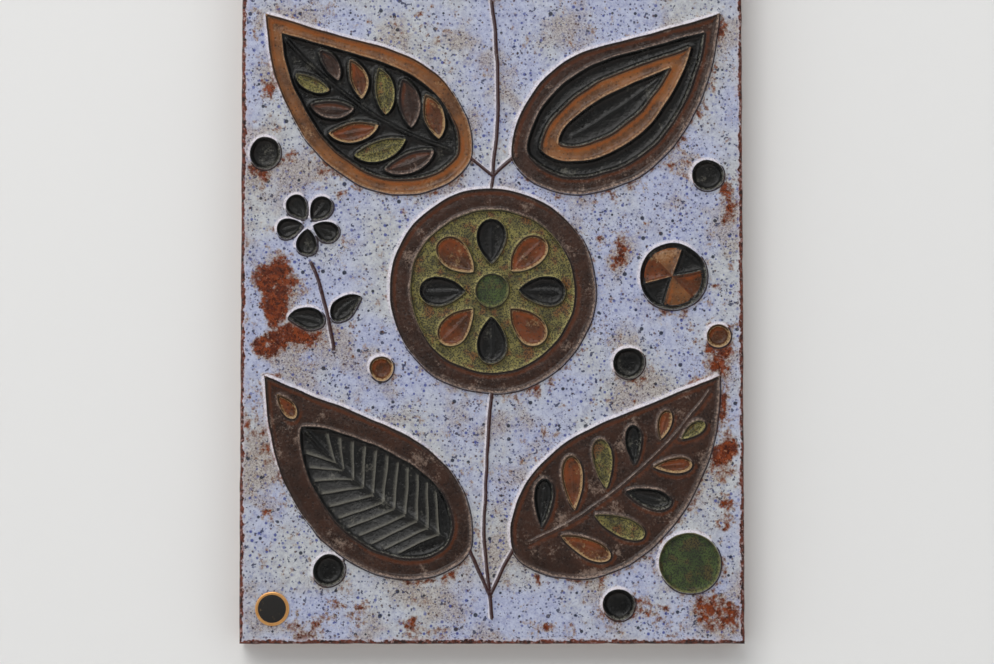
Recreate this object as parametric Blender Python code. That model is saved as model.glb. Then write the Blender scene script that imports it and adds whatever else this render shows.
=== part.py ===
"""A stoneware wall plaque with a moulded relief of leaves and flowers, glazed in front and hollow behind.

Metres, +Z up. The wall is the plane y = 0 and the relief faces -Y. The origin is on the back, where
the hanging lug bears against the wall.
"""

import math
from collections import namedtuple

import bmesh
import bpy
import numpy as np
from mathutils import Vector, kdtree
from mathutils.geometry import delaunay_2d_cdt

MM = 0.001

# The slab.
WIDTH = 220 * MM
HEIGHT = 400 * MM
THICKNESS = 18 * MM
EDGE_ROUND = 1.6 * MM
ORIGIN_BELOW_TOP = 12 * MM

# The hollow back: a rim all round, a lug at the top and a blind hole in it for the nail.
FACE_WALL = 8 * MM
RIM_WIDTH = 10 * MM
HOLLOW_CORNER = 8 * MM
LUG_WIDTH = 46 * MM
LUG_DROP = 42 * MM
NAIL_HOLE_BELOW_TOP = 28 * MM
NAIL_HOLE_RADIUS = 4.5 * MM
NAIL_HOLE_DEPTH = 9 * MM

# The maker's round foil sticker, left blank.
STICKER_RADIUS = 7.4 * MM
STICKER_THICKNESS = 0.5 * MM
STICKER_SIDES = 40
STICKER_FROM_LEFT = 14.6 * MM
STICKER_FROM_BOTTOM = 15.4 * MM
STICKER_GAP = 0.3 * MM

# How finely the relief is faceted: about how far apart its points are.
OUTLINE_STEP = 8 * MM
DETAIL_STEP = 5.2 * MM
FLOOR_STEP = 9 * MM
GROUND_STEP = 16 * MM
EDGE_STEP = 40 * MM
CLOSEST = 1.0 * MM
MERGE = 0.02 * MM
RIDGE_SAMPLE = 0.4 * MM
FEWEST_SIDES = 12
NAIL_HOLE_SIDES = 20
SMOOTH_ANGLE = math.radians(35)

# A ridge's foot is tried at these shares of its half width, and kept where no other ridge is nearer.
FOOT_SHARES = (1.0, 0.8, 0.6)
OWN_FOOT = 0.93
# A ridge's corner is sharp where the cosine of its turn is under this.
SHARP = 0.5
# A hollow's corner takes at most this share of the lug's free length.
LUG_SHARE = 0.48

# Every line of the relief is a ridge: its height above the ground and its half width.
Ridge = namedtuple("Ridge", "height half_width")
RIDGES = {
    "rim": Ridge(1.7 * MM, 2.1 * MM),
    "inner": Ridge(1.2 * MM, 1.6 * MM),
    "rib": Ridge(0.8 * MM, 1.3 * MM),
    "stem": Ridge(1.5 * MM, 1.8 * MM),
}

# Every cell between the ridges is filled with one glaze: its colour, roughness and floor above the ground.
Glaze = namedtuple("Glaze", "colour roughness floor")
GLAZES = {
    "ground": Glaze((0.40, 0.44, 0.60), 0.30, 0.0 * MM),
    "brown": Glaze((0.060, 0.032, 0.022), 0.30, 0.2 * MM),
    "black": Glaze((0.018, 0.018, 0.017), 0.22, -0.5 * MM),
    "rust": Glaze((0.26, 0.085, 0.025), 0.35, -0.4 * MM),
    "copper": Glaze((0.16, 0.075, 0.035), 0.32, 0.1 * MM),
    "olive": Glaze((0.14, 0.115, 0.035), 0.45, -0.2 * MM),
    "green": Glaze((0.045, 0.065, 0.025), 0.45, -0.2 * MM),
}
CLAY = Glaze((0.13, 0.06, 0.035), 0.85, 0.0)
FOIL = Glaze((0.70, 0.42, 0.15), 0.30, 0.0)

# A glazed cell, with a ridge round it or none, and a lone ridge such as a stem or a rib.
Cell = namedtuple("Cell", "outline glaze ridge")
Line = namedtuple("Line", "points ridge")


# Points on the face: x to the right of its middle, z up from its bottom edge.


def spot(across, up):
    """A place on the face, as a share of half its width and a share of its height."""
    return (across * WIDTH / 2, up * HEIGHT)


def share(of_height):
    """A length in the relief, which is drawn as shares of the plaque's height."""
    return of_height * HEIGHT


def mix(a, b, t):
    return a + (b - a) * t


def even(points, step):
    """The same line with its ends kept and its points evenly spaced, about a step apart."""
    run = [0.0]
    for p, q in zip(points, points[1:]):
        run.append(run[-1] + math.dist(p, q))
    count = max(1, round(run[-1] / step))
    evened = []
    at = 0
    for k in range(count + 1):
        want = run[-1] * k / count
        while at < len(points) - 2 and run[at + 1] < want:
            at += 1
        t = (want - run[at]) / max(run[at + 1] - run[at], 1e-12)
        evened.append(tuple(mix(p, q, t) for p, q in zip(points[at], points[at + 1])))
    return evened


class Axis:
    """The middle line of a leaf: from its base to its tip, bowed to the left by bow."""

    def __init__(self, base, tip, bow=0.0):
        self.base, self.tip, self.bow = base, tip, bow
        self.length = math.dist(base, tip)
        self.along = ((tip[0] - base[0]) / self.length, (tip[1] - base[1]) / self.length)
        self.left = (-self.along[1], self.along[0])

    def at(self, t, side=0.0):
        """The point at share t along the line, and side to its left."""
        lift = 4 * self.bow * t * (1 - t)
        slope = 4 * self.bow * (1 - 2 * t) / self.length
        turn = 1 / math.hypot(1, slope)
        forward = self.length * t - slope * turn * side
        leftward = lift + turn * side
        return tuple(b + a * forward + n * leftward for b, a, n in zip(self.base, self.along, self.left))

    def part(self, start, end):
        """The stretch of this line between two shares of it, as a line of its own."""
        a, m, b = self.at(start), self.at((start + end) / 2), self.at(end)
        chord = math.dist(a, b)
        off = (m[0] - (a[0] + b[0]) / 2) * (a[1] - b[1]) + (m[1] - (a[1] + b[1]) / 2) * (b[0] - a[0])
        return Axis(a, b, off / chord)

    def points(self, start=0.0, end=1.0, count=16):
        return [self.at(mix(start, end, k / count)) for k in range(count + 1)]


class Blade:
    """A leaf, petal or seed: a width laid along an axis. A power of 0.5 rounds an end and 1 points it."""

    def __init__(self, axis, width, base_power=0.62, tip_power=1.0):
        self.axis, self.width = axis, width
        self.base_power, self.tip_power = base_power, tip_power
        widest = base_power / (base_power + tip_power)
        self.peak = widest**base_power * (1 - widest) ** tip_power

    def half_width(self, t):
        t = min(max(t, 0.0), 1.0)
        return self.width / 2 * t**self.base_power * (1 - t) ** self.tip_power / self.peak

    def edge(self, t, side):
        """The point on the outline at t: on the left side for side 1, on the right for -1."""
        return self.axis.at(t, side * self.half_width(t))

    def outline(self, step):
        smooth = 64
        shares = [(1 - math.cos(math.pi * k / smooth)) / 2 for k in range(smooth + 1)]
        up = even([self.edge(t, 1) for t in shares], step)
        down = even([self.edge(t, -1) for t in reversed(shares)], step)
        return up[:-1] + down[:-1]


def circle(centre, radius, sides):
    return [polar(centre, radius, 360 * k / sides) for k in range(sides)]


def polar(centre, radius, degrees):
    a = math.radians(degrees)
    return (centre[0] + radius * math.cos(a), centre[1] + radius * math.sin(a))


# The motifs. Each adds its cells, outer ones first, and its lines.


class Relief:
    """The cells and lines of the whole design."""

    def __init__(self):
        self.cells = []
        self.lines = []

    def blade(self, blade, glaze, ridge):
        step = OUTLINE_STEP if ridge == "rim" else DETAIL_STEP
        self.cells.append(Cell(blade.outline(step), glaze, ridge))

    def disc(self, centre, radius, glaze, ridge):
        step = OUTLINE_STEP if ridge == "rim" else DETAIL_STEP
        sides = max(FEWEST_SIDES, round(2 * math.pi * radius / step))
        self.cells.append(Cell(circle(centre, radius, sides), glaze, ridge))

    def line(self, points, ridge):
        self.lines.append(Line(even(points, OUTLINE_STEP), ridge))

    def herringbone_leaf(self, axis, width):
        """A brown leaf with a black inlay ribbed like a feather, and a rust bud at its tip."""
        self.blade(Blade(axis, width, 0.62, 1.05), "brown", "rim")
        middle = axis.part(0.08, 0.77)
        inlay = Blade(middle, width * 0.68, 0.55, 0.80)
        self.blade(inlay, "black", "inner")
        self.line(middle.points(0.03, 0.97), "rib")
        ribs = 6
        near = share(0.002)
        for k in range(ribs):
            start = mix(0.06, 0.74, k / (ribs - 1))
            end = start + 0.15
            for side in (1, -1):
                reach = inlay.half_width(end) - RIDGES["inner"].half_width / 2
                self.line([middle.at(start + 0.01, side * near), middle.at(end, side * reach)], "rib")
        self.blade(Blade(axis.part(0.81, 0.92), width * 0.10, 0.6, 0.9), "rust", "inner")

    def seed_leaf(self, axis, width):
        """A brown leaf with a midrib and drop-shaped seeds on both sides of it."""
        body = Blade(axis, width, 0.62, 1.05)
        self.blade(body, "brown", "rim")
        self.line(axis.points(0.07, 0.93), "rib")
        pairs = 5
        near = share(0.008)
        for k in range(pairs):
            for side, late in ((1, 0.0), (-1, 0.05)):
                start = mix(0.13, 0.68, k / (pairs - 1)) + late
                end = start + 0.10
                reach = body.half_width(end) - share(0.015)
                seed = Axis(axis.at(start, side * near), axis.at(end, side * reach))
                glaze = ("black", "rust", "olive")[(k + (side < 0)) % 3]
                fat = share(0.012) + 0.20 * (reach - near)
                self.blade(Blade(seed, fat, 0.9, 0.5), glaze, "inner")

    def almond_leaf(self, axis, width):
        """A copper-edged black leaf, with almond cells that lean from its midrib."""
        self.blade(Blade(axis, width, 0.62, 1.05), "copper", "rim")
        middle = axis.part(0.055, 0.90)
        field = Blade(middle, width * 0.78, 0.60, 1.0)
        self.blade(field, "black", "inner")
        self.line(middle.points(0.03, 0.97), "rib")
        pairs = 5
        near = share(0.007)
        for k in range(pairs):
            for side in (1, -1):
                start = mix(0.10, 0.66, k / (pairs - 1))
                end = start + 0.16
                reach = field.half_width(end) - share(0.0085)
                foot, head = middle.at(start, side * near), middle.at(end, side * reach)
                glaze = ("brown", "rust", "olive")[(2 * k + (side < 0)) % 3]
                fat = share(0.013) + 0.22 * (reach - near)
                self.blade(Blade(Axis(foot, head, side * share(0.003)), fat, 0.85, 0.85), glaze, "inner")

    def striped_leaf(self, axis, width):
        """A brown leaf with bands nested in it, from its base to its tip."""
        self.blade(Blade(axis, width, 0.62, 1.05), "brown", "rim")
        bands = ((0.76, 0.06, 0.91, "black"), (0.50, 0.11, 0.83, "copper"), (0.26, 0.18, 0.72, "black"))
        for wide, start, end, glaze in bands:
            self.blade(Blade(axis.part(start, end), width * wide, 0.62, 1.0), glaze, "inner")

    def bloom(self, centre, radius, petals):
        """A round flower: a brown ring, an olive field and petals about a green eye."""
        self.disc(centre, radius, "brown", "rim")
        self.disc(centre, radius * 0.80, "olive", "inner")
        for k in range(petals):
            turn = 90 + 360 / petals * k
            axis = Axis(polar(centre, radius * 0.26, turn), polar(centre, radius * 0.71, turn))
            self.blade(Blade(axis, radius * 0.29, 0.85, 0.5), ("black", "rust")[k % 2], "inner")
        self.disc(centre, radius * 0.165, "green", "inner")

    def wheel(self, centre, radius, wedges, turn):
        """A small disc cut into wedges like a sliced fruit."""
        self.disc(centre, radius, "black", "rim")
        spoke = radius - RIDGES["rim"].half_width
        for k in range(wedges):
            start = turn + 360 / wedges * k
            arc = [polar(centre, spoke, start + 360 / wedges * part) for part in (0.0, 0.5, 1.0)]
            self.cells.append(Cell([centre, *arc], ("black", "copper", "rust")[k % 3], None))
            self.line([centre, arc[0]], "rib")

    def clover(self, centre, radius, petals, turn):
        """A small black flower of separate petals."""
        for k in range(petals):
            angle = turn + 360 / petals * k
            axis = Axis(polar(centre, radius * 0.16, angle), polar(centre, radius, angle))
            self.blade(Blade(axis, radius * 0.66, 0.8, 0.5), "black", "inner")

    def sprig(self, foot, top, bow, leaf_length):
        """A bent twig with a small black leaf on each side of its foot."""
        twig = Axis(foot, top, bow)
        self.line(twig.points(), "stem")
        heading = math.degrees(math.atan2(twig.along[1], twig.along[0]))
        root = twig.at(0.25)
        for side in (1, -1):
            angle = heading + side * 62
            foot, head = polar(root, share(0.007), angle), polar(root, leaf_length, angle)
            leaf = Axis(foot, head, -side * share(0.004))
            self.blade(Blade(leaf, leaf_length * 0.52, 0.6, 0.9), "black", "inner")

    def tulip(self, foot, height):
        """A tall flower: a green bud, a middle petal with nested bands and two bowed side petals."""
        x, z = foot
        self.disc((x, z + height * 0.080), height * 0.070, "green", "rim")
        petal = Axis((x, z + height * 0.20), (x, z + height))
        self.blade(Blade(petal, height * 0.33, 0.6, 1.0), "brown", "rim")
        self.blade(Blade(petal.part(0.09, 0.86), height * 0.22, 0.6, 0.95), "olive", "inner")
        self.blade(Blade(petal.part(0.20, 0.70), height * 0.10, 0.6, 0.9), "black", "inner")
        for side in (1, -1):
            base = (x + side * height * 0.120, z + height * 0.155)
            tip = (x + side * height * 0.57, z + height * 0.80)
            wing = Axis(base, tip, -side * height * 0.100)
            self.blade(Blade(wing, height * 0.245, 0.62, 1.0), "brown", "rim")
            self.blade(Blade(wing.part(0.11, 0.84), height * 0.140, 0.62, 0.95), "copper", "inner")


def compose():
    """The whole relief: a stem with two pairs of leaves, a bloom, a tulip and small flowers and seeds."""
    relief = Relief()
    trunk = Axis(spot(0.0, 0.028), spot(0.0, 0.272), share(0.008))
    neck = Axis(spot(0.0, 0.498), spot(0.0, 0.704), -share(0.007))
    leaves = (relief.herringbone_leaf, relief.seed_leaf), (relief.almond_leaf, relief.striped_leaf)
    heights_up = (0.10, 0.102, 0.292), (0.06, 0.530, 0.690)
    for stem, pair, (fork, foot, tip) in zip((trunk, neck), leaves, heights_up):
        relief.line(stem.points(), "stem")
        for side, leaf in zip((-1, 1), pair):
            base = spot(side * 0.085, foot)
            relief.line([stem.at(fork), base], "stem")
            leaf(Axis(base, spot(side * 0.905, tip), -side * share(0.022)), share(0.148))
    relief.bloom(spot(0.0, 0.385), share(0.112), 8)
    relief.tulip(spot(0.0, 0.706), share(0.264))

    relief.sprig(spot(-0.63, 0.322), spot(-0.72, 0.415), -share(0.004), share(0.046))
    relief.clover(spot(-0.73, 0.458), share(0.035), 5, 50)
    relief.disc(spot(-0.44, 0.300), share(0.013), "rust", "rim")
    relief.disc(spot(-0.90, 0.535), share(0.0175), "black", "rim")
    relief.wheel(spot(0.72, 0.400), share(0.037), 6, 12)
    relief.disc(spot(0.54, 0.305), share(0.0175), "black", "rim")
    relief.disc(spot(0.90, 0.335), share(0.013), "rust", "rim")
    relief.disc(spot(0.86, 0.512), share(0.0175), "black", "rim")
    relief.disc(spot(0.78, 0.088), share(0.033), "green", "rim")
    relief.disc(spot(0.50, 0.042), share(0.0175), "black", "rim")
    relief.disc(spot(-0.64, 0.080), share(0.0175), "black", "rim")

    relief.wheel(spot(-0.80, 0.800), share(0.035), 6, 40)
    relief.clover(spot(0.80, 0.800), share(0.035), 5, 20)
    for side in (-1, 1):
        relief.disc(spot(side * 0.30, 0.940), share(0.0175), "black", "rim")
        relief.disc(spot(side * 0.62, 0.738), share(0.013), "rust", "rim")
        relief.disc(spot(side * 0.85, 0.930), share(0.025), "green", "rim")
    return relief


# The solid.


def bell(distance, half_width):
    """1 on a ridge's crest, falling smoothly to 0 at its foot."""
    return 0.5 + 0.5 * np.cos(np.pi * np.clip(distance / half_width, 0.0, 1.0))


def inside(outline, points):
    """Which of the points lie inside a closed outline."""
    x, z = points[:, 0], points[:, 1]
    within = np.zeros(len(points), bool)
    for (x1, z1), (x2, z2) in zip(outline, outline[1:] + outline[:1]):
        if z1 != z2:
            within ^= ((z1 > z) != (z2 > z)) & (x < (x2 - x1) * (z - z1) / (z2 - z1) + x1)
    return within


def glaze_at(relief, points):
    """The index of the glaze at each point: that of the last cell drawn over it."""
    names = list(GLAZES)
    found = np.zeros(len(points), int)
    for cell in relief.cells:
        found[inside(cell.outline, points)] = names.index(cell.glaze)
    return found


def ridge_runs(relief):
    """Every ridge as an open run of points with its kind; an outline's run ends where it starts."""
    closed = [(cell.outline + cell.outline[:1], cell.ridge) for cell in relief.cells if cell.ridge]
    return closed + [(line.points, line.ridge) for line in relief.lines]


class Field:
    """How far any place is from the nearest ridge of each kind."""

    def __init__(self, runs):
        self.trees = {}
        for kind in RIDGES:
            samples = [p for points, ridge in runs if ridge == kind for p in even(points, RIDGE_SAMPLE)]
            if samples:
                self.trees[kind] = kdtree.KDTree(len(samples))
                for index, (x, z) in enumerate(samples):
                    self.trees[kind].insert((x, z, 0.0), index)
                self.trees[kind].balance()

    def distances(self, kind, points):
        return np.array([self.trees[kind].find((x, z, 0.0))[2] for x, z in points])

    def nearest(self, point):
        return min(tree.find((*point, 0.0))[2] for tree in self.trees.values())

    def openness(self, points):
        """How far each point is from every ridge, in that ridge's half widths: over 1 is on a floor."""
        return np.min([self.distances(kind, points) / RIDGES[kind].half_width for kind in self.trees], axis=0)


def heights(relief, field, points):
    """The height of the face above its ground at each point: floors, ridges, then the rounded edge."""
    glazes = list(GLAZES.values())
    floors = np.array([glazes[k].floor for k in glaze_at(relief, points)])
    found = floors.copy()
    for kind in field.trees:
        ridge = RIDGES[kind]
        rise = bell(field.distances(kind, points), ridge.half_width)
        found = np.maximum(found, floors + (ridge.height - floors) * rise)
    to_edge = np.minimum(WIDTH / 2 - np.abs(points[:, 0]), np.minimum(points[:, 1], HEIGHT - points[:, 1]))
    near = np.clip(1 - to_edge / EDGE_ROUND, 0.0, 1.0)
    return found - EDGE_ROUND * (1 - np.sqrt(1 - near**2))


class Scatter:
    """Points kept at least a given distance apart."""

    def __init__(self, closest):
        self.closest = closest
        self.taken = {}

    def square(self, point):
        return tuple(math.floor(c / self.closest) for c in point)

    def free(self, point):
        i, j = self.square(point)
        around = ((a, b) for a in (i - 1, i, i + 1) for b in (j - 1, j, j + 1))
        return all(math.dist(p, point) >= self.closest for key in around for p in self.taken.get(key, ()))

    def add(self, point):
        self.taken.setdefault(self.square(point), []).append(point)


def frame_loop(inset, step):
    """The rectangle of the face, set in by inset, with points about a step apart."""
    x, low, high = WIDTH / 2 - inset, inset, HEIGHT - inset
    corners = [(-x, low), (x, low), (x, high), (-x, high)]
    return [p for a, b in zip(corners, corners[1:] + corners[:1]) for p in even([a, b], step)[:-1]]


def feet_of(run, kind, field):
    """Both feet of a ridge: a place beside each stretch, or None where another ridge is in the way."""
    half_width = RIDGES[kind].half_width
    feet = ([], [])
    for (x1, z1), (x2, z2) in zip(run, run[1:]):
        length = max(math.dist((x1, z1), (x2, z2)), MERGE)
        across, up = -(z2 - z1) / length, (x2 - x1) / length
        middle = ((x1 + x2) / 2, (z1 + z2) / 2)
        for side, found in zip((1, -1), feet):
            tries = [half_width * part for part in FOOT_SHARES]
            places = [(middle[0] + side * across * t, middle[1] + side * up * t) for t in tries]
            clear = [p for p, t in zip(places, tries) if field.nearest(p) > OWN_FOOT * t]
            found.append(clear[0] if clear else None)
    return feet


def tips_of(run, kind):
    """The feet of a ridge around its ends and ahead of its sharp corners."""
    closed = run[0] == run[-1]
    points = [Vector(p) for p in run]
    ways = [(q - p).normalized() for p, q in zip(points, points[1:])]
    if closed:
        corners = [k for k in range(len(ways)) if ways[k - 1].dot(ways[k]) < SHARP]
        bends = [(points[k], ways[k - 1] - ways[k]) for k in corners]
    else:
        ends = ((points[0], -ways[0]), (points[-1], ways[-1]))
        bends = [(p, turned) for p, way in ends for turned in (way, way.orthogonal(), -way.orthogonal())]
    return [tuple(p + ahead.normalized() * RIDGES[kind].half_width) for p, ahead in bends]


def grid(step):
    """Staggered rows of points over the face."""
    across, up = round(WIDTH / step), round(HEIGHT / step)
    return [
        ((column + (0.25 if row % 2 else -0.25)) / across * WIDTH - WIDTH / 2, row / up * HEIGHT)
        for row in range(1, up)
        for column in range(1, across)
    ]


class Net:
    """The points and edges that the face's triangles are drawn between."""

    def __init__(self):
        self.points = []
        self.edges = []
        self.scatter = Scatter(CLOSEST)

    def join(self, run, closed=False):
        """Adds a run of points with an edge between each two."""
        first, count = len(self.points), len(run)
        self.edges += [(first + k, first + (k + 1) % count) for k in range(count if closed else count - 1)]
        self.points += run
        for p in run:
            self.scatter.add(p)

    def join_where_free(self, places, closed):
        """Adds those of the places that aren't too near the points so far, each joined to the next."""
        taken = []
        for p in places:
            free = p is not None and self.scatter.free(p)
            taken.append(len(self.points) if free else None)
            if free:
                self.join([p])
        following = taken[1:] + taken[:1] if closed else taken[1:]
        self.edges += [(a, b) for a, b in zip(taken, following) if a is not None and b is not None]

    def spread(self, places, apart):
        """Adds places a set distance from each other, the first ones first."""
        chosen = Scatter(apart)
        for p in places:
            if self.scatter.free(p) and chosen.free(p):
                chosen.add(p)
                self.join([p])

    def triangles(self):
        flat = [Vector(p) for p in self.points]
        made, _, faces, _, _, _ = delaunay_2d_cdt(flat, self.edges, [], 0, MERGE)
        return np.array([tuple(p) for p in made]), [list(f) for f in faces]


def face_mesh(relief, field, runs):
    """Triangles over the face with every ridge's crest and feet on their edges."""
    net = Net()
    net.join(frame_loop(0.0, EDGE_STEP), closed=True)
    net.join(frame_loop(EDGE_ROUND, EDGE_STEP), closed=True)
    for run, _ in runs:
        net.join(run)
    for run, kind in runs:
        for foot in feet_of(run, kind, field):
            net.join_where_free(foot, closed=run[0] == run[-1])
        own_foot = OWN_FOOT * RIDGES[kind].half_width
        net.spread([tip for tip in tips_of(run, kind) if field.nearest(tip) > own_foot], CLOSEST)
    places = np.array(grid(FLOOR_STEP / 2))
    openness = field.openness(places)
    order = [k for k in np.argsort(-openness, kind="stable") if openness[k] > 1]
    in_cell = glaze_at(relief, places) > 0
    net.spread([tuple(places[k]) for k in order if in_cell[k]], FLOOR_STEP)
    net.spread([tuple(places[k]) for k in order if not in_cell[k]], GROUND_STEP)
    return net.triangles()


def principled(name, glaze, metallic=0.0):
    material = bpy.data.materials.new(name)
    material.use_nodes = True
    shader = material.node_tree.nodes["Principled BSDF"]
    shader.inputs["Base Color"].default_value = (*glaze.colour, 1.0)
    shader.inputs["Roughness"].default_value = glaze.roughness
    shader.inputs["Metallic"].default_value = metallic
    material.diffuse_color = (*glaze.colour, 1.0)
    return material


def to_row(x, z, depth):
    """From the face's own places to the part's frame: depth is measured from the wall towards the viewer."""
    return Vector((x, -depth, z - HEIGHT + ORIGIN_BELOW_TOP))


def link(name, bm, materials):
    mesh = bpy.data.meshes.new(name)
    bm.to_mesh(mesh)
    bm.free()
    for material in materials:
        mesh.materials.append(material)
    mesh.shade_smooth()
    mesh.set_sharp_from_angle(angle=SMOOTH_ANGLE)
    made = bpy.data.objects.new(name, mesh)
    bpy.context.scene.collection.objects.link(made)
    return made


def slab(relief, materials):
    """The solid slab with its relief, before the back is hollowed."""
    runs = ridge_runs(relief)
    field = Field(runs)
    flat, triangles = face_mesh(relief, field, runs)
    lift = heights(relief, field, flat)
    centres = np.array([flat[t].mean(axis=0) for t in triangles])
    glazes = glaze_at(relief, centres)
    bm = bmesh.new()
    verts = [bm.verts.new(to_row(x, z, THICKNESS + h)) for (x, z), h in zip(flat, lift)]
    for triangle, glaze in zip(triangles, glazes):
        face = bm.faces.new([verts[k] for k in triangle])
        face.material_index = int(glaze)
    bm.normal_update()
    if sum(face.normal.y * face.calc_area() for face in bm.faces) > 0:
        bmesh.ops.reverse_faces(bm, faces=bm.faces)
    border = [edge for edge in bm.edges if edge.is_boundary]
    walls = bmesh.ops.extrude_edge_only(bm, edges=border)["geom"]
    for vert in (g for g in walls if isinstance(g, bmesh.types.BMVert)):
        vert.co.y = 0.0
    bmesh.ops.holes_fill(bm, edges=[edge for edge in bm.edges if edge.is_boundary])
    bmesh.ops.recalc_face_normals(bm, faces=bm.faces)
    clay = len(materials) - 1
    for face in bm.faces:
        looks_forward = face.normal.y < -0.01
        if not looks_forward:
            face.material_index = clay
    return link("plaque", bm, materials)


def rounded(corners, radius, segments=5):
    """A closed outline with its corners rounded. A corner that turns the other way is rounded too."""
    outline = []
    for k, corner in enumerate(corners):
        before, after = Vector(corners[k - 1]), Vector(corners[(k + 1) % len(corners)])
        here = Vector(corner)
        to_before, to_after = (before - here).normalized(), (after - here).normalized()
        for j in range(segments + 1):
            a = math.pi / 2 * j / segments
            pull = to_before * (1 - math.sin(a)) + to_after * (1 - math.cos(a))
            outline.append(tuple(here + pull * radius))
    return outline


def cutter(name, outline, near, far, material):
    """A prism that cuts from depth near to depth far, both measured from the wall."""
    bm = bmesh.new()
    base = [bm.verts.new(to_row(x, z, near)) for x, z in outline]
    face = bm.faces.new(base)
    grown = bmesh.ops.extrude_face_region(bm, geom=[face])["geom"]
    for vert in (g for g in grown if isinstance(g, bmesh.types.BMVert)):
        vert.co.y = -far
    bmesh.ops.recalc_face_normals(bm, faces=bm.faces)
    made = link(name, bm, [material])
    made.hide_render = True
    made.display_type = "WIRE"
    return made


def hollow_outline():
    """The hollow seen from the front: a rectangle inside the rim, less the lug that hangs into its top."""
    x, low, high = WIDTH / 2 - RIM_WIDTH, RIM_WIDTH, HEIGHT - RIM_WIDTH
    lug, drop = LUG_WIDTH / 2, HEIGHT - LUG_DROP
    around_lug = [(lug, high), (lug, drop), (-lug, drop), (-lug, high)]
    corners = [(-x, low), (x, low), (x, high), *around_lug, (-x, high)]
    radius = min(HOLLOW_CORNER, LUG_SHARE * (LUG_DROP - RIM_WIDTH))
    return rounded(corners, radius)


def cut(target, tool):
    modifier = target.modifiers.new(tool.name, "BOOLEAN")
    modifier.operation = "DIFFERENCE"
    modifier.solver = "EXACT"
    modifier.material_mode = "TRANSFER"
    modifier.object = tool


def plaque():
    glazes = [principled(f"glaze_{name}", glaze) for name, glaze in GLAZES.items()]
    clay = principled("bare_clay", CLAY)
    body = slab(compose(), [*glazes, clay])
    past_wall = -1 * MM
    cut(body, cutter("hollow_cutter", hollow_outline(), past_wall, THICKNESS - FACE_WALL, clay))
    hole = circle((0.0, HEIGHT - NAIL_HOLE_BELOW_TOP), NAIL_HOLE_RADIUS, NAIL_HOLE_SIDES)
    cut(body, cutter("nail_hole_cutter", hole, past_wall, NAIL_HOLE_DEPTH, clay))


def sticker():
    """A thin foil disc on the ground near the lower left corner."""
    bm = bmesh.new()
    bmesh.ops.create_cone(
        bm,
        cap_ends=True,
        segments=STICKER_SIDES,
        radius1=STICKER_RADIUS,
        radius2=STICKER_RADIUS,
        depth=STICKER_THICKNESS,
    )
    made = link("sticker", bm, [principled("foil", FOIL, metallic=0.9)])
    x, z = STICKER_FROM_LEFT - WIDTH / 2, STICKER_FROM_BOTTOM
    made.location = to_row(x, z, THICKNESS + STICKER_GAP + STICKER_THICKNESS / 2)
    made.rotation_euler = (math.pi / 2, 0, 0)


def main():
    for old in list(bpy.data.objects):
        bpy.data.objects.remove(old)
    plaque()
    sticker()


main()
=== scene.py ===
import math
from collections import namedtuple

import bmesh
import bpy
import numpy as np
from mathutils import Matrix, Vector, kdtree, noise
from mathutils.geometry import delaunay_2d_cdt


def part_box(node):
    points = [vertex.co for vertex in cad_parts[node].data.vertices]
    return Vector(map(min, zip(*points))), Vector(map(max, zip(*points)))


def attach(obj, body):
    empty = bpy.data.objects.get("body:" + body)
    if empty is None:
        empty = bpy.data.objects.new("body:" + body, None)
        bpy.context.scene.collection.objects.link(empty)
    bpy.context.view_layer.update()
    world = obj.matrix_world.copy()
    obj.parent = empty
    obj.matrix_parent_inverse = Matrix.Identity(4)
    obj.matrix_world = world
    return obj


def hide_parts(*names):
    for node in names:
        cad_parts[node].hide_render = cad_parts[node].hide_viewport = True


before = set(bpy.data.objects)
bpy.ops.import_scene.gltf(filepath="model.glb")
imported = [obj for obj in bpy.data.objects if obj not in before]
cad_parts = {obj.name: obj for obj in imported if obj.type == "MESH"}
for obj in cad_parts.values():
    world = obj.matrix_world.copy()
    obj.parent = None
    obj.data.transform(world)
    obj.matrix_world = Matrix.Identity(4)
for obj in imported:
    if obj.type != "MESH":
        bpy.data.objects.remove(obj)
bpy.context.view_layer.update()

# The looks of a stoneware wall plaque: the relief with its fine forms, the glazes, the sticker and
# the stage. Metres, +Z up. The wall is the plane y = 0 and the relief faces -Y.

MM = 0.001

# The slab's sizes come from its solid. The solid's lowest y is the crest of its highest ridge.
LOW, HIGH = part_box("plaque")
RIM_HEIGHT = 1.7 * MM
WIDTH = HIGH.x - LOW.x
HEIGHT = HIGH.z - LOW.z
THICKNESS = -LOW.y - RIM_HEIGHT
TOP = HIGH.z
EDGE_ROUND = 1.6 * MM

# The hollow back, as the solid has it.
FACE_WALL = 8 * MM
RIM_WIDTH = 10 * MM
HOLLOW_CORNER = 8 * MM
LUG_WIDTH = 46 * MM
LUG_DROP = 42 * MM
NAIL_HOLE_BELOW_TOP = 28 * MM
NAIL_HOLE_RADIUS = 4.5 * MM
NAIL_HOLE_DEPTH = 9 * MM
BACK_ROUND = 1.0 * MM
HOLLOW_FILLET = 2.5 * MM
HOLLOW_CLEAR = THICKNESS - FACE_WALL
SIDE_DEPTHS = [depth * MM for depth in (13.5, 10.5, 7.5, 4.5)]

# The sticker from its middle to its rim: shares of its radius and of its thickness. The black print
# covers the first rings, and sits a little off the middle.
STICKER_PROFILE = [
    (0.0, 0.94), (0.45, 0.96), (0.80, 0.90), (0.825, 0.88),
    (0.84, 0.94), (0.93, 0.90), (0.975, 0.78), (1.0, 0.5),
]
PRINTED_RINGS = 2
PRINT_OFF = 0.072

# The photograph's view, found by matching the plaque's outline in its frame.
CAMERA_PLACE = (0.0022, -1.518, -0.355)
CAMERA_TILT = math.radians(3.924)
CAMERA_LENS, CAMERA_SENSOR = 124.71, 36

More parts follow.
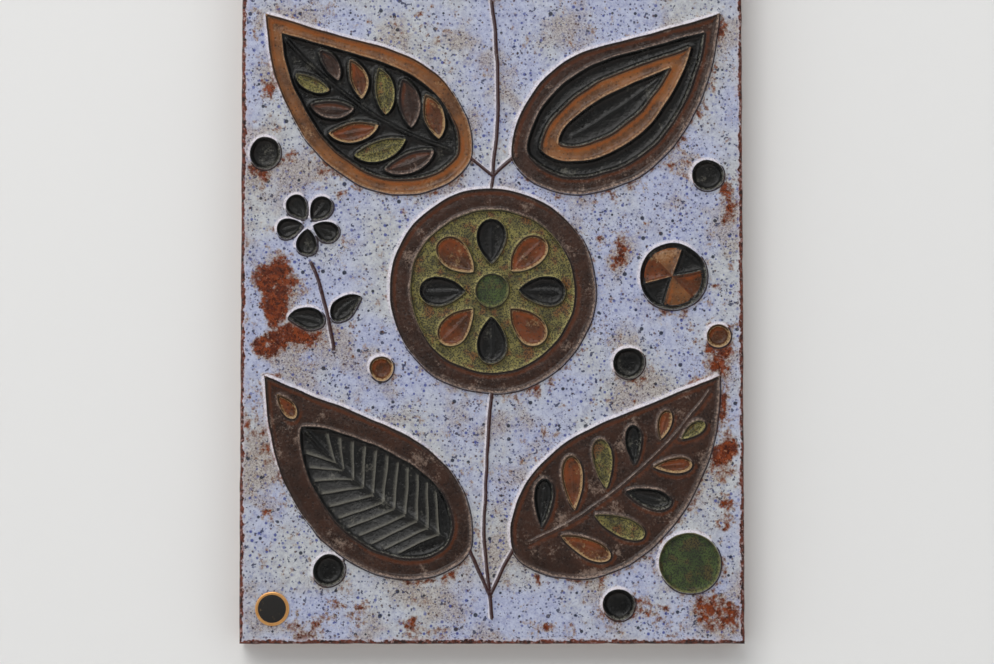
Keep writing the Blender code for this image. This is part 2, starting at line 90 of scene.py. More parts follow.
# How finely the relief is drawn: about how far apart its points are.
RUN_STEP = 1.15 * MM
VALLEY_STEP = 0.95 * MM
FLOOR_STEP = 1.5 * MM
GROUND_STEP = 2.5 * MM
EDGE_STEP = 2.5 * MM
BACK_STEP = 7 * MM
CLOSEST = 0.36 * MM
MERGE = 0.01 * MM
RIDGE_SAMPLE = 0.12 * MM
FEWEST_SIDES = 40
SLOPE_SHARES = (0.2, 0.45, 0.72, 1.0)
OWN_SLOPE = 0.9
# In half widths of the nearest ridge: where its crest ends, and where its valley ends.
ON_CREST, IN_VALLEY = 0.25, 1.25
EDGE_INSETS = [EDGE_ROUND * (1 - math.cos(math.radians(a))) for a in (0, 22, 45, 68, 90)] + [2.8 * MM]
SHARP_ANGLE = math.radians(50)

Ridge = namedtuple("Ridge", "height half_width")
RIDGES = {
    "rim": Ridge(RIM_HEIGHT, 2.1 * MM),
    "inner": Ridge(1.2 * MM, 1.6 * MM),
    "rib": Ridge(0.8 * MM, 1.3 * MM),
    "stem": Ridge(1.5 * MM, 1.8 * MM),
    "vein": Ridge(0.5 * MM, 0.8 * MM),
}

# How far from each kind of line the pale band of painted highlight reaches on its side facing the light,
# and how bare its crest is.
PALE_REACH = {"rim": 2.2 * MM, "inner": 1.9 * MM, "rib": 1.2 * MM, "stem": 2.4 * MM}
BARE_CREST = {"rim": 1.0, "inner": 0.9, "rib": 0.85, "stem": 1.0, "vein": 0.5}
# On the side of a line turned from the light a dark band of painted shade lies about this far from it in
# millimetres, and past it an amber band, which is also placed by the light's direction.
SHADE_AT, SHADE_WIDTH = 0.35, 0.5
AMBER_AT, AMBER_WIDTH = 1.9 * MM, 1.7 * MM

# Each glaze's floor above the ground, and how far it sinks away from the ridges, or swells where the
# dish is under 0.
Glaze = namedtuple("Glaze", "floor dish")
GLAZES = {
    "ground": Glaze(0.0, 0.0),
    "brown": Glaze(0.2 * MM, -0.30 * MM),
    "black": Glaze(-0.5 * MM, 0.45 * MM),
    "rust": Glaze(-0.4 * MM, 0.30 * MM),
    "copper": Glaze(0.1 * MM, 0.25 * MM),
    "olive": Glaze(-0.2 * MM, 0.0),
    "green": Glaze(-0.2 * MM, -0.15 * MM),
}
DISH_REACH = 4.0 * MM
SLAT_RISE = 0.95 * MM
JUST_PAST = 0.08 * MM
SURFACES = [*GLAZES, "side", "clay"]

Cell = namedtuple("Cell", "outline glaze ridge")
Line = namedtuple("Line", "points ridge")
# The ribs of a feather's slats: for each side of its blade, the foot and head of each one.
Slats = namedtuple("Slats", "blade ribs")

# Rust stains on the ground: where each is across and up, its radii, and how strong it is.
STAINS = [
    (-94, 154, 8, 18, 1.0),
    (-84, 133, 15, 6, 0.75),
    (-97, 132, 7, 8, 0.8),
    (-98, 97, 12, 24, 0.42),
    (-86, 82, 14, 12, 0.33),
    (-97, 60, 6, 9, 0.40),
    (-93, 246, 8, 9, 0.60),
    (-70, 205, 8, 4, 0.45),
    (-101, 206, 4, 7, 0.50),
    (56, 171, 6, 12, 0.60),
    (99, 128, 8, 15, 0.62),
    (93, 104, 10, 12, 0.66),
    (101, 84, 6, 12, 0.70),
    (82, 76, 9, 6, 0.55),
    (101, 58, 5, 9, 0.55),
    (60, 16, 20, 8, 0.42),
    (98, 12, 12, 9, 0.60),
    (84, 34, 12, 8, 0.38),
    (-80, 7, 13, 5, 0.55),
    (-60, 16, 10, 6, 0.38),
    (-30, 6, 12, 4, 0.38),
    (20, 5, 9, 3.5, 0.40),
    (34, 34, 10, 7, 0.32),
    (-52, 44, 12, 8, 0.30),
    (104, 190, 4, 12, 0.50),
    (88, 210, 10, 8, 0.34),
    (-104, 275, 4, 12, 0.55),
    (92, 268, 10, 7, 0.50),
    (70, 300, 9, 6, 0.42),
    (-60, 292, 12, 6, 0.40),
    (-98, 330, 8, 13, 0.60),
    (98, 350, 7, 14, 0.55),
    (40, 386, 14, 6, 0.45),
    (-60, 390, 12, 6, 0.50),
    (-20, 262, 7, 5, 0.26),
]

# Away from the light on the face, downwards. Painted shade and an amber band go on that side of a line,
# a painted highlight on the other, and rust seeps further on that side.
AWAY_FROM_LIGHT = Vector((0.55, -0.83)).normalized()


def spot(across, up):
    """A place on the face, as a share of half its width and a share of its height."""
    return (across * WIDTH / 2, up * HEIGHT)


def share(of_height):
    """A length in the relief, which is drawn as shares of the plaque's height."""
    return of_height * HEIGHT


def mix(a, b, t):
    return a + (b - a) * t


def smooth(value, low, high):
    """0 below low, 1 above high and an even rise between them."""
    t = np.clip((value - low) / (high - low), 0.0, 1.0)
    return t * t * (3 - 2 * t)


def bell(distance, half_width):
    """1 on a ridge's crest, falling smoothly to 0 at its foot."""
    return 0.5 + 0.5 * np.cos(np.pi * np.clip(distance / half_width, 0.0, 1.0))


def rough(points, size, seed):
    """Smooth noise from -1 to 1 at each point, with lumps of about the given size."""
    return np.array([noise.noise(Vector((x / size, z / size, seed))) for x, z in points])


def even(points, step):
    """The same line with its ends kept and its points evenly spaced, about a step apart."""
    run = [0.0]
    for p, q in zip(points, points[1:]):
        run.append(run[-1] + math.dist(p, q))
    count = max(1, round(run[-1] / step))
    evened = []
    at = 0
    for k in range(count + 1):
        want = run[-1] * k / count
        while at < len(points) - 2 and run[at + 1] < want:
            at += 1
        t = (want - run[at]) / max(run[at + 1] - run[at], 1e-12)
        evened.append(tuple(mix(p, q, t) for p, q in zip(points[at], points[at + 1])))
    return evened


class Axis:
    """The middle line of a leaf: from its base to its tip, bowed to the left by bow."""

    def __init__(self, base, tip, bow=0.0):
        self.base, self.tip, self.bow = base, tip, bow
        self.length = math.dist(base, tip)
        self.along = ((tip[0] - base[0]) / self.length, (tip[1] - base[1]) / self.length)
        self.left = (-self.along[1], self.along[0])

    def at(self, t, side=0.0):
        """The point at share t along the line, and side to its left."""
        lift = 4 * self.bow * t * (1 - t)
        slope = 4 * self.bow * (1 - 2 * t) / self.length
        turn = 1 / math.hypot(1, slope)
        forward = self.length * t - slope * turn * side
        leftward = lift + turn * side
        ways = zip(self.base, self.along, self.left)
        return tuple(b + a * forward + n * leftward for b, a, n in ways)

    def part(self, start, end):
        """The stretch of this line between two shares of it, as a line of its own."""
        a, m, b = self.at(start), self.at((start + end) / 2), self.at(end)
        chord = math.dist(a, b)
        off = (m[0] - (a[0] + b[0]) / 2) * (a[1] - b[1]) + (m[1] - (a[1] + b[1]) / 2) * (b[0] - a[0])
        return Axis(a, b, off / chord)

    def points(self, start=0.0, end=1.0, count=24):
        return [self.at(mix(start, end, k / count)) for k in range(count + 1)]

    def own(self, points):
        """Where points lie for the leaf: a share along its line, and a distance to the line's left."""
        off = points - np.array(self.base)
        t = off @ np.array(self.along) / self.length
        return t, off @ np.array(self.left) - 4 * self.bow * t * (1 - t)


class Blade:
    """A leaf, petal or seed: a width along an axis. A power of 0.5 rounds an end and 1 points it."""

    def __init__(self, axis, width, base_power=0.62, tip_power=1.0):
        self.axis, self.width = axis, width
        self.base_power, self.tip_power = base_power, tip_power
        widest = base_power / (base_power + tip_power)
        self.peak = widest**base_power * (1 - widest) ** tip_power

    def half_width(self, t):
        t = min(max(t, 0.0), 1.0)
        return self.width / 2 * t**self.base_power * (1 - t) ** self.tip_power / self.peak

    def edge(self, t, side):
        """The point on the outline at t: on the left side for side 1, on the right for -1."""
        return self.axis.at(t, side * self.half_width(t))

    def outline(self):
        count = 96
        shares = [(1 - math.cos(math.pi * k / count)) / 2 for k in range(count + 1)]
        up = even([self.edge(t, 1) for t in shares], RUN_STEP)
        down = even([self.edge(t, -1) for t in reversed(shares)], RUN_STEP)
        return up[:-1] + down[:-1]


def polar(centre, radius, degrees):
    a = math.radians(degrees)
    return (centre[0] + radius * math.cos(a), centre[1] + radius * math.sin(a))


class Relief:
    """All cells and lines of the design. A motif adds its cells, outer ones first, and its lines."""

    def __init__(self):
        self.cells = []
        self.lines = []
        self.slats = []

    def blade(self, blade, glaze, ridge, vein=None):
        self.cells.append(Cell(blade.outline(), glaze, ridge))
        if vein:
            self.line(blade.axis.points(*vein), "vein")

    def disc(self, centre, radius, glaze, ridge):
        sides = max(FEWEST_SIDES, round(2 * math.pi * radius / RUN_STEP))
        outline = [polar(centre, radius, 360 * k / sides) for k in range(sides)]
        self.cells.append(Cell(outline, glaze, ridge))

    def bead(self, across, up, radius, glaze):
        """A small disc on the ground, placed and sized by shares of the face."""
        self.disc(spot(across, up), share(radius), glaze, "rim")

    def line(self, points, ridge):
        self.lines.append(Line(even(points, RUN_STEP), ridge))

    def herringbone_leaf(self, axis, width):
        """A brown leaf with a black inlay of slats like a feather's, and a rust bud at its tip."""
        self.blade(Blade(axis, width, 0.62, 1.05), "brown", "rim")
        middle = axis.part(0.08, 0.77)
        inlay = Blade(middle, width * 0.68, 0.55, 0.80)
        self.blade(inlay, "black", "inner")
        self.line(middle.points(0.03, 0.97), "rib")
        near = share(0.002)
        count, lean = 11, 0.14
        starts = [mix(0.07, 0.75, k / (count - 1)) for k in range(count)]
        reaches = [inlay.half_width(start + lean) - RIDGES["inner"].half_width / 2 for start in starts]
        ribs = {1: [], -1: []}
        for start, reach in zip(starts, reaches):
            for side in (1, -1):
                ribs[side].append((middle.at(start, side * near), middle.at(start + lean, side * reach)))
                self.line(ribs[side][-1], "vein")
        self.slats.append(Slats(inlay, ribs))
        self.blade(Blade(axis.part(0.81, 0.92), width * 0.10, 0.6, 0.9), "rust", "inner")

    def seed_leaf(self, axis, width):
        """A brown leaf with a midrib and drop-shaped seeds on both sides of it."""
        body = Blade(axis, width, 0.62, 1.05)
        self.blade(body, "brown", "rim")
        self.line(axis.points(0.07, 0.93), "rib")
        pairs = 5
        near = share(0.008)
        for k in range(pairs):
            for side, late in ((1, 0.0), (-1, 0.05)):
                start = mix(0.13, 0.68, k / (pairs - 1)) + late
                end = start + 0.10
                reach = body.half_width(end) - share(0.015)
                seed = Axis(axis.at(start, side * near), axis.at(end, side * reach))
                glaze = ("black", "rust", "olive")[(k + (side < 0)) % 3]
                fat = share(0.012) + 0.20 * (reach - near)
                self.blade(Blade(seed, fat, 0.9, 0.5), glaze, "inner", vein=(0.22, 0.80))

    def almond_leaf(self, axis, width):
        """A copper-edged black leaf, with almond cells that lean from its midrib."""
        self.blade(Blade(axis, width, 0.62, 1.05), "copper", "rim")
        middle = axis.part(0.055, 0.90)
        field = Blade(middle, width * 0.78, 0.60, 1.0)
        self.blade(field, "black", "inner")
        self.line(middle.points(0.03, 0.97), "rib")
        pairs = 5
        near = share(0.007)
        for k in range(pairs):
            for side in (1, -1):
                start = mix(0.10, 0.66, k / (pairs - 1))
                end = start + 0.16
                reach = field.half_width(end) - share(0.0085)
                foot, head = middle.at(start, side * near), middle.at(end, side * reach)
                glaze = ("brown", "rust", "olive")[(2 * k + (side < 0)) % 3]
                fat = share(0.013) + 0.22 * (reach - near)
                almond = Blade(Axis(foot, head, side * share(0.003)), fat, 0.85, 0.85)
                self.blade(almond, glaze, "inner", vein=(0.12, 0.88))

    def striped_leaf(self, axis, width):
        """A brown leaf with bands nested in it, from its base to its tip."""
        self.blade(Blade(axis, width, 0.62, 1.05), "brown", "rim")
        bands = ((0.76, 0.06, 0.91, "black"), (0.50, 0.11, 0.83, "copper"), (0.26, 0.18, 0.72, "black"))
        for wide, start, end, glaze in bands:
            self.blade(Blade(axis.part(start, end), width * wide, 0.62, 1.0), glaze, "inner")
        self.line(axis.points(0.24, 0.66), "vein")

    def bloom(self, centre, radius, petals):
        """A round flower: a brown ring, an olive field and petals about a green eye."""
        self.disc(centre, radius, "brown", "rim")
        self.disc(centre, radius * 0.80, "olive", "inner")
        for k in range(petals):
            turn = 90 + 360 / petals * k
            axis = Axis(polar(centre, radius * 0.26, turn), polar(centre, radius * 0.71, turn))
            petal = Blade(axis, radius * 0.29, 0.85, 0.5)
            self.blade(petal, ("black", "rust")[k % 2], "inner", vein=(0.15, 0.85))
        self.disc(centre, radius * 0.165, "green", "inner")

    def wheel(self, centre, radius, wedges, turn):
        """A small disc cut into wedges like a sliced fruit."""
        self.disc(centre, radius, "black", "rim")
        spoke = radius - RIDGES["rim"].half_width
        for k in range(wedges):
            start = turn + 360 / wedges * k
            arc = [polar(centre, spoke, start + 360 / wedges * part / 6) for part in range(7)]
            self.cells.append(Cell([centre, *arc], ("black", "copper", "rust")[k % 3], None))
            self.line([centre, arc[0]], "rib")

    def clover(self, centre, radius, petals, turn):
        """A small black flower of separate petals."""
        for k in range(petals):
            angle = turn + 360 / petals * k
            axis = Axis(polar(centre, radius * 0.16, angle), polar(centre, radius, angle))
            self.blade(Blade(axis, radius * 0.66, 0.8, 0.5), "black", "inner", vein=(0.10, 0.80))

    def sprig(self, foot, top, bow, leaf_length):
        """A bent twig with a small black leaf on each side of its foot."""
        twig = Axis(foot, top, bow)
        self.line(twig.points(), "stem")
        heading = math.degrees(math.atan2(twig.along[1], twig.along[0]))
        root = twig.at(0.25)
        for side in (1, -1):
            angle = heading + side * 62
            foot, head = polar(root, share(0.007), angle), polar(root, leaf_length, angle)
            leaf = Axis(foot, head, -side * share(0.004))
            self.blade(Blade(leaf, leaf_length * 0.52, 0.6, 0.9), "black", "inner", vein=(0.10, 0.85))

    def tulip(self, foot, height):
        """A tall flower: a green bud, a middle petal with nested bands and two bowed side petals."""
        x, z = foot
        self.disc((x, z + height * 0.080), height * 0.070, "green", "rim")
        petal = Axis((x, z + height * 0.20), (x, z + height))
        self.blade(Blade(petal, height * 0.33, 0.6, 1.0), "brown", "rim")
        self.blade(Blade(petal.part(0.09, 0.86), height * 0.22, 0.6, 0.95), "olive", "inner")
        heart = petal.part(0.20, 0.70)
        self.blade(Blade(heart, height * 0.10, 0.6, 0.9), "black", "inner", vein=(0.12, 0.85))
        for side in (1, -1):
            base = (x + side * height * 0.120, z + height * 0.155)
            tip = (x + side * height * 0.57, z + height * 0.80)
            wing = Axis(base, tip, -side * height * 0.100)
            self.blade(Blade(wing, height * 0.245, 0.62, 1.0), "brown", "rim")
            panel = Blade(wing.part(0.11, 0.84), height * 0.140, 0.62, 0.95)
            self.blade(panel, "copper", "inner", vein=(0.08, 0.90))


def compose():
    """The relief: a stem with two pairs of leaves, a bloom, a tulip and small flowers and seeds."""
    relief = Relief()
    trunk = Axis(spot(0.0, 0.028), spot(0.0, 0.272), share(0.008))
    neck = Axis(spot(0.0, 0.498), spot(0.0, 0.704), -share(0.007))
    leaves = (relief.herringbone_leaf, relief.seed_leaf), (relief.almond_leaf, relief.striped_leaf)
    heights_up = (0.10, 0.102, 0.292), (0.06, 0.530, 0.690)
    for stem, pair, (fork, foot, tip) in zip((trunk, neck), leaves, heights_up):
        relief.line(stem.points(), "stem")
        for side, leaf in zip((-1, 1), pair):
            base = spot(side * 0.085, foot)
            relief.line([stem.at(fork), base], "stem")
            leaf(Axis(base, spot(side * 0.905, tip), -side * share(0.022)), share(0.148))
    relief.bloom(spot(0.0, 0.385), share(0.112), 8)
    relief.tulip(spot(0.0, 0.706), share(0.264))

    relief.sprig(spot(-0.63, 0.322), spot(-0.72, 0.415), -share(0.004), share(0.046))
    relief.clover(spot(-0.73, 0.458), share(0.035), 5, 50)
    relief.bead(-0.44, 0.300, 0.013, "rust")
    relief.bead(-0.90, 0.535, 0.0175, "black")
    relief.wheel(spot(0.72, 0.400), share(0.037), 6, 12)
    relief.bead(0.54, 0.305, 0.0175, "black")
    relief.bead(0.90, 0.335, 0.013, "rust")
    relief.bead(0.86, 0.512, 0.0175, "black")
    relief.bead(0.78, 0.088, 0.033, "green")
    relief.bead(0.50, 0.042, 0.0175, "black")
    relief.bead(-0.64, 0.080, 0.0175, "black")

    relief.wheel(spot(-0.80, 0.800), share(0.035), 6, 40)
    relief.clover(spot(0.80, 0.800), share(0.035), 5, 20)
    for side in (-1, 1):
        relief.bead(side * 0.30, 0.940, 0.0175, "black")
        relief.bead(side * 0.62, 0.738, 0.013, "rust")
        relief.bead(side * 0.85, 0.930, 0.025, "green")
    return relief


def inside(outline, points):
    """Which of the points lie inside a closed outline."""
    x, z = points[:, 0], points[:, 1]
    xs, zs = [p[0] for p in outline], [p[1] for p in outline]
    near = np.flatnonzero((x > min(xs)) & (x < max(xs)) & (z > min(zs)) & (z < max(zs)))
    x, z = x[near], z[near]
    within = np.zeros(len(near), bool)
    for (x1, z1), (x2, z2) in zip(outline, outline[1:] + outline[:1]):
        if z1 != z2:
            within ^= ((z1 > z) != (z2 > z)) & (x < (x2 - x1) * (z - z1) / (z2 - z1) + x1)
    found = np.zeros(len(points), bool)
    found[near[within]] = True
    return found


def glaze_at(relief, points):
    """The index of the glaze at each point: that of the last cell drawn over it."""
    names = list(GLAZES)
    found = np.zeros(len(points), int)
    for cell in relief.cells:
        found[inside(cell.outline, points)] = names.index(cell.glaze)
    return found


def ridge_runs(relief):
    """Every ridge as an open run of points with its kind; an outline's run ends where it starts."""
    closed = [(cell.outline + cell.outline[:1], cell.ridge) for cell in relief.cells if cell.ridge]
    return closed + [(line.points, line.ridge) for line in relief.lines]


class Field:
    """How far any place is from the nearest ridge of each kind."""

    def __init__(self, runs):
        self.trees = {}
        for kind in RIDGES:
            samples = [p for points, ridge in runs if ridge == kind for p in even(points, RIDGE_SAMPLE)]
            self.trees[kind] = kdtree.KDTree(len(samples))
            for index, (x, z) in enumerate(samples):
                self.trees[kind].insert((x, z, 0.0), index)
            self.trees[kind].balance()

    def distances(self, kind, points):
        """How far each point is from the nearest ridge of a kind. All along its crest it is 0."""
        found = np.array([self.trees[kind].find((x, z, 0.0))[2] for x, z in points])
        return np.where(found < 0.6 * RIDGE_SAMPLE, 0.0, found)

    def ways(self, kind, points):
        """From the nearest place on a ridge of this kind to each point, as unit vectors."""
        nearest = [self.trees[kind].find((x, z, 0.0))[0] for x, z in points]
        found = np.array([(x - co.x, z - co.y) for (x, z), co in zip(points, nearest)])
        return found / np.maximum(np.linalg.norm(found, axis=1), 1e-9)[:, None]

    def nearest(self, point):
        return min(tree.find((*point, 0.0))[2] for tree in self.trees.values())


class Scatter:
    """Points kept at least a given distance apart."""

    def __init__(self, closest):
        self.closest = closest
        self.taken = {}

    def free(self, point):
        i, j = math.floor(point[0] / self.closest), math.floor(point[1] / self.closest)
        for a in (i - 1, i, i + 1):
            for b in (j - 1, j, j + 1):
                for p in self.taken.get((a, b), ()):
                    if math.dist(p, point) < self.closest:
                        return False
        return True

    def add(self, point):
        key = (math.floor(point[0] / self.closest), math.floor(point[1] / self.closest))
        self.taken.setdefault(key, []).append(point)


def frame_loop(inset, step):
    """The rectangle of the face, set in by inset, with points about a step apart."""
    x, low, high = WIDTH / 2 - inset, inset, HEIGHT - inset
    corners = [(-x, low), (x, low), (x, high), (-x, high)]
    counts = [max(1, round(side / step)) for side in (WIDTH, HEIGHT, WIDTH, HEIGHT)]
    loop = []
    for a, b, count in zip(corners, corners[1:] + corners[:1], counts):
        loop += [tuple(mix(p, q, k / count) for p, q in zip(a, b)) for k in range(count)]
    return loop


def to_edge(points):
    """How far each point is from the nearest edge of the face."""
    sides = np.minimum(points[:, 0] + WIDTH / 2, WIDTH / 2 - points[:, 0])
    ends = np.minimum(points[:, 1], HEIGHT - points[:, 1])
    return np.minimum(sides, ends)


def grid(step):
    """Staggered rows of points over the face."""
    across, up = round(WIDTH / step), round(HEIGHT / step)
    return [
        ((column + (0.25 if row % 2 else -0.25)) / across * WIDTH - WIDTH / 2, row / up * HEIGHT)
        for row in range(1, up)
        for column in range(1, across)
    ]


class Net:
    """The points and edges that the face's triangles are drawn between."""

    def __init__(self):
        self.points = []
        self.edges = []
        self.scatter = Scatter(CLOSEST)

    def join(self, run, closed=False):
        """Adds a run of points with an edge between each two."""
        first, count = len(self.points), len(run)
        edges = count if closed else count - 1
        self.edges += [(first + k, first + (k + 1) % count) for k in range(edges)]
        self.points += run
        for p in run:
            self.scatter.add(p)

    def slope(self, run, kind, part, side, field):
        """Adds a line beside a ridge, part of the way down one side, where no other ridge is nearer."""
        closed = run[0] == run[-1]
        off = part * RIDGES[kind].half_width
        taken = []
        for (x1, z1), (x2, z2) in zip(run, run[1:]):
            length = max(math.dist((x1, z1), (x2, z2)), MERGE)
            across, up = -side * (z2 - z1) / length, side * (x2 - x1) / length
            place = ((x1 + x2) / 2 + across * off, (z1 + z2) / 2 + up * off)
            free = self.scatter.free(place) and field.nearest(place) > OWN_SLOPE * off
            taken.append(len(self.points) if free else None)
            if free:
                self.join([place])
        following = taken[1:] + taken[:1] if closed else taken[1:]
        self.edges += [(a, b) for a, b in zip(taken, following) if a is not None and b is not None]

    def spread(self, places, apart):
        """Adds places a set distance from each other, the first ones first."""
        chosen = Scatter(apart)
        for p in places:
            if chosen.free(p) and self.scatter.free(p):
                chosen.add(p)
                self.join([p])


def drawn_net(relief, field, runs):
    """Points over the face with every ridge's crest and slopes on their edges."""
    net = Net()
    for inset in EDGE_INSETS:
        net.join(frame_loop(inset, EDGE_STEP), closed=True)
    for run, _ in runs:
        net.join(run)
    for part in SLOPE_SHARES:
        for run, kind in runs:
            for side in (1, -1):
                net.slope(run, kind, part, side, field)
    places = np.array(grid(VALLEY_STEP / 1.2))
    places = places[to_edge(places) > EDGE_INSETS[-1] + 0.5 * MM]
    spans = np.array([field.distances(kind, places) / RIDGES[kind].half_width for kind in RIDGES])
    openness = spans.min(axis=0)
    in_cell = glaze_at(relief, places) > 0
    order = np.argsort(-openness, kind="stable")
    rows = (
        ((openness < IN_VALLEY) & (openness > ON_CREST), VALLEY_STEP),
        ((openness >= IN_VALLEY) & in_cell, FLOOR_STEP),
        ((openness >= IN_VALLEY) & ~in_cell, GROUND_STEP),
    )
    for wanted, apart in rows:
        net.spread([tuple(places[k]) for k in order if wanted[k]], apart)
    return net


def beyond(foot, head, heading, points):
    """How far points lie past the line through foot and head, in the direction of heading."""
    way = np.array(head) - np.array(foot)
    across = np.array((-way[1], way[0])) / np.linalg.norm(way)
    across = across * np.sign(across @ np.array(heading))
    return (points - np.array(foot)) @ across


def slat_rise(relief, points):
    """How high each point is on a feather's slats: 1 just past a rib, falling to 0 at the next."""
    rise = np.zeros(len(points))
    for slats in relief.slats:
        t, off = slats.blade.axis.own(points)
        shares = np.linspace(0.0, 1.0, 200)
        widths = np.interp(t, shares, [slats.blade.half_width(s) for s in shares])
        within = (t > 0.0) & (t < 1.0) & (np.abs(off) < widths)
        for side, ribs in slats.ribs.items():
            past = [beyond(foot, head, slats.blade.axis.along, points) for foot, head in ribs]
            past.append(2 * past[-1] - past[-2])
            past = np.array(past) + JUST_PAST
            behind = (past[:-1] >= 0).sum(axis=0) - 1
            column, last = np.arange(len(points)), np.maximum(behind, 0)
            here, following = past[last, column], past[last + 1, column]
            share_gone = here / np.maximum(here - following, 0.01 * MM)
            on_slat = within & (off * side >= 0) & (behind >= 0)
            rise[on_slat] = 1 - np.clip(share_gone[on_slat], 0.0, 1.0)
    return rise


def shape_face(relief, field, points):
    """The height of the face above its ground at each point, and what the glazes need to know there."""
    kinds = list(GLAZES.values())
    cells = glaze_at(relief, points)
    spans = {kind: field.distances(kind, points) for kind in RIDGES}
    bells = {kind: bell(spans[kind], RIDGES[kind].half_width) for kind in RIDGES}
    clear = np.min([spans[kind] for kind in PALE_REACH], axis=0)
    sunk = smooth(clear, 0.0, DISH_REACH)
    floors = np.array([kinds[k].floor - kinds[k].dish * s for k, s in zip(cells, sunk)])
    slats = slat_rise(relief, points) * (cells == list(GLAZES).index("black"))
    slats = slats * smooth(spans["inner"], 0.4 * MM, 2.2 * MM)
    floors = floors + SLAT_RISE * slats**1.3
    floors = floors + 0.10 * MM * rough(points, 16 * MM, 3.1) + 0.05 * MM * rough(points, 4.5 * MM, 7.7)
    found = floors.copy()
    worn = 1 - 0.30 * np.abs(rough(points, 11 * MM, 1.3)) - 0.12 * np.abs(rough(points, 3 * MM, 5.9))
    for kind in PALE_REACH:
        top = RIDGES[kind].height * worn
        found = np.maximum(found, floors + (top - floors) * bells[kind])
    found = found + (slats == 0) * RIDGES["vein"].height * bells["vein"] * (1 - bells["inner"])
    found = np.minimum(found, RIM_HEIGHT)
    near = np.clip(1 - to_edge(points) / EDGE_ROUND, 0.0, 1.0)
    found = found * smooth(to_edge(points), 0.0, 3 * MM) - EDGE_ROUND * (1 - np.sqrt(1 - near**2))

    return found, glaze_marks(field, points, spans, bells, slats)


def glaze_marks(field, points, spans, bells, slats):
    """What the glazes need to know at each point, as named values from 0 to 1."""
    apart = np.array([spans[kind] for kind in PALE_REACH])
    first, span = apart.argmin(axis=0), apart.min(axis=0)
    ways = np.array([field.ways(kind, points) for kind in PALE_REACH])[first, np.arange(len(points))]
    reach = np.array(list(PALE_REACH.values()))[first]
    # On a crest itself the way to it is chance, so nothing faces the light or turns from it there.
    facing = -(ways @ np.array(AWAY_FROM_LIGHT)) * smooth(span, 0.16 * MM, 0.38 * MM)
    # lit: the slopes that face the light. Pale marks there are painted highlight.
    lit = smooth(facing, -0.25, 0.6)
    outlined = np.minimum(spans["rim"], spans["inner"])
    # A dark band on the side of the lines turned from the light: painted shade.
    painted_shade = np.exp(-(((span / MM - SHADE_AT) / SHADE_WIDTH) ** 2)) * smooth(-facing, -0.5, 0.35)
    # How far the way from the nearest rim points away from the light.
    shaded_side = np.clip(field.ways("rim", points) @ np.array(AWAY_FROM_LIGHT), 0.0, 1.0)
    return {
        "crest": np.max([bells[kind] * bare for kind, bare in BARE_CREST.items()], axis=0),
        # A pale band on the lit side of the lines: painted highlight.
        "thin_and_highlight": bell(span, reach) * lit,
        # Painted shade, kept off the ribs.
        "painted_shade": painted_shade * (bells["rib"] < 0.5),
        # An amber band past the painted shade, on the same side, placed by the light's direction.
        "amber": bell(np.abs(span - AMBER_AT), AMBER_WIDTH) * smooth(-facing, -0.1, 0.7),
        "slat": slats,
        # Chalky pale about the lines, strongest on their lit side, where it is painted highlight.
        "halo_and_highlight": np.maximum(bell(span, reach * 1.35) * lit, 0.45 * bell(outlined, 3.0 * MM)),
        "margin": bell(outlined, 2.4 * MM),
        "twig": bell(spans["stem"], 1.6 * MM),
        # Rust seeping from the rims, stronger on their side turned from the light, which is partly
        # painted shade.
        "seep_and_shade": shaded_side * bell(spans["rim"], 7 * MM),
        "stain": stained(points),
        "arris": 1 - smooth(to_edge(points), 0.0, 4 * MM),
    }


def stained(points):
    """How strongly the stains have soaked in at each point. Their outlines wander a little."""
    stray_x = points[:, 0] / MM + 5.0 * rough(points, 11 * MM, 31.0)
    stray_z = points[:, 1] / MM + 7.0 * rough(points, 13 * MM, 37.0)
    found = np.zeros(len(points))
    for x, z, wide, tall, strength in STAINS:
        off = np.hypot((stray_x - x) / wide, (stray_z - z) / tall)
        found = np.maximum(found, strength * (1 - smooth(off, 0.35, 1.35)))
    return found


def wander(points):
    """The face's own places after the small wanderings of a hand-drawn design."""
    loose = smooth(to_edge(points), 2.5 * MM, 10 * MM)
    moves = []
    for seed in (11.3, 23.9):
        sway = 0.90 * MM * rough(points, 34 * MM, seed) + 0.45 * MM * rough(points, 9 * MM, seed + 5)
        moves.append(loose * sway)
    return points + np.array(moves).T


class Shell:
    """One closed skin, put together from flat patches and the strips between them."""

    def __init__(self):
        self.places = []
        self.faces = []

    def add(self, places):
        first = len(self.places)
        self.places += places
        return list(range(first, len(self.places)))

    def patch(self, loops, fill, depth, surface, wanted):
        """Fills between loops that are there already, with some loose points, where wanted says so."""
        flat = [self.places[k][:2] for loop in loops for k in loop] + fill
        edges = []
        first = 0
        for loop in loops:
            edges += [(first + k, first + (k + 1) % len(loop)) for k in range(len(loop))]
            first += len(loop)
        made, _, faces, origins, _, _ = delaunay_2d_cdt([Vector(p) for p in flat], edges, [], 0, MERGE)
        known = [k for loop in loops for k in loop]
        index = []
        for place, origin in zip(made, origins):
            if origin and origin[0] < len(known):
                index.append(known[origin[0]])
            else:
                index += self.add([(place.x, place.y, depth)])
        centres = np.array([np.mean([tuple(made[k]) for k in face], axis=0) for face in faces])
        kept = wanted(centres)
        self.faces += [([index[k] for k in face], surface) for face, keep in zip(faces, kept) if keep]

    def strip(self, loop, places, surface):
        """Carries a closed loop on to new places, one for each of its points."""
        grown = self.add(places)
        for k in range(len(loop)):
            self.faces.append(([loop[k - 1], loop[k], grown[k], grown[k - 1]], SURFACES.index(surface)))
        return grown


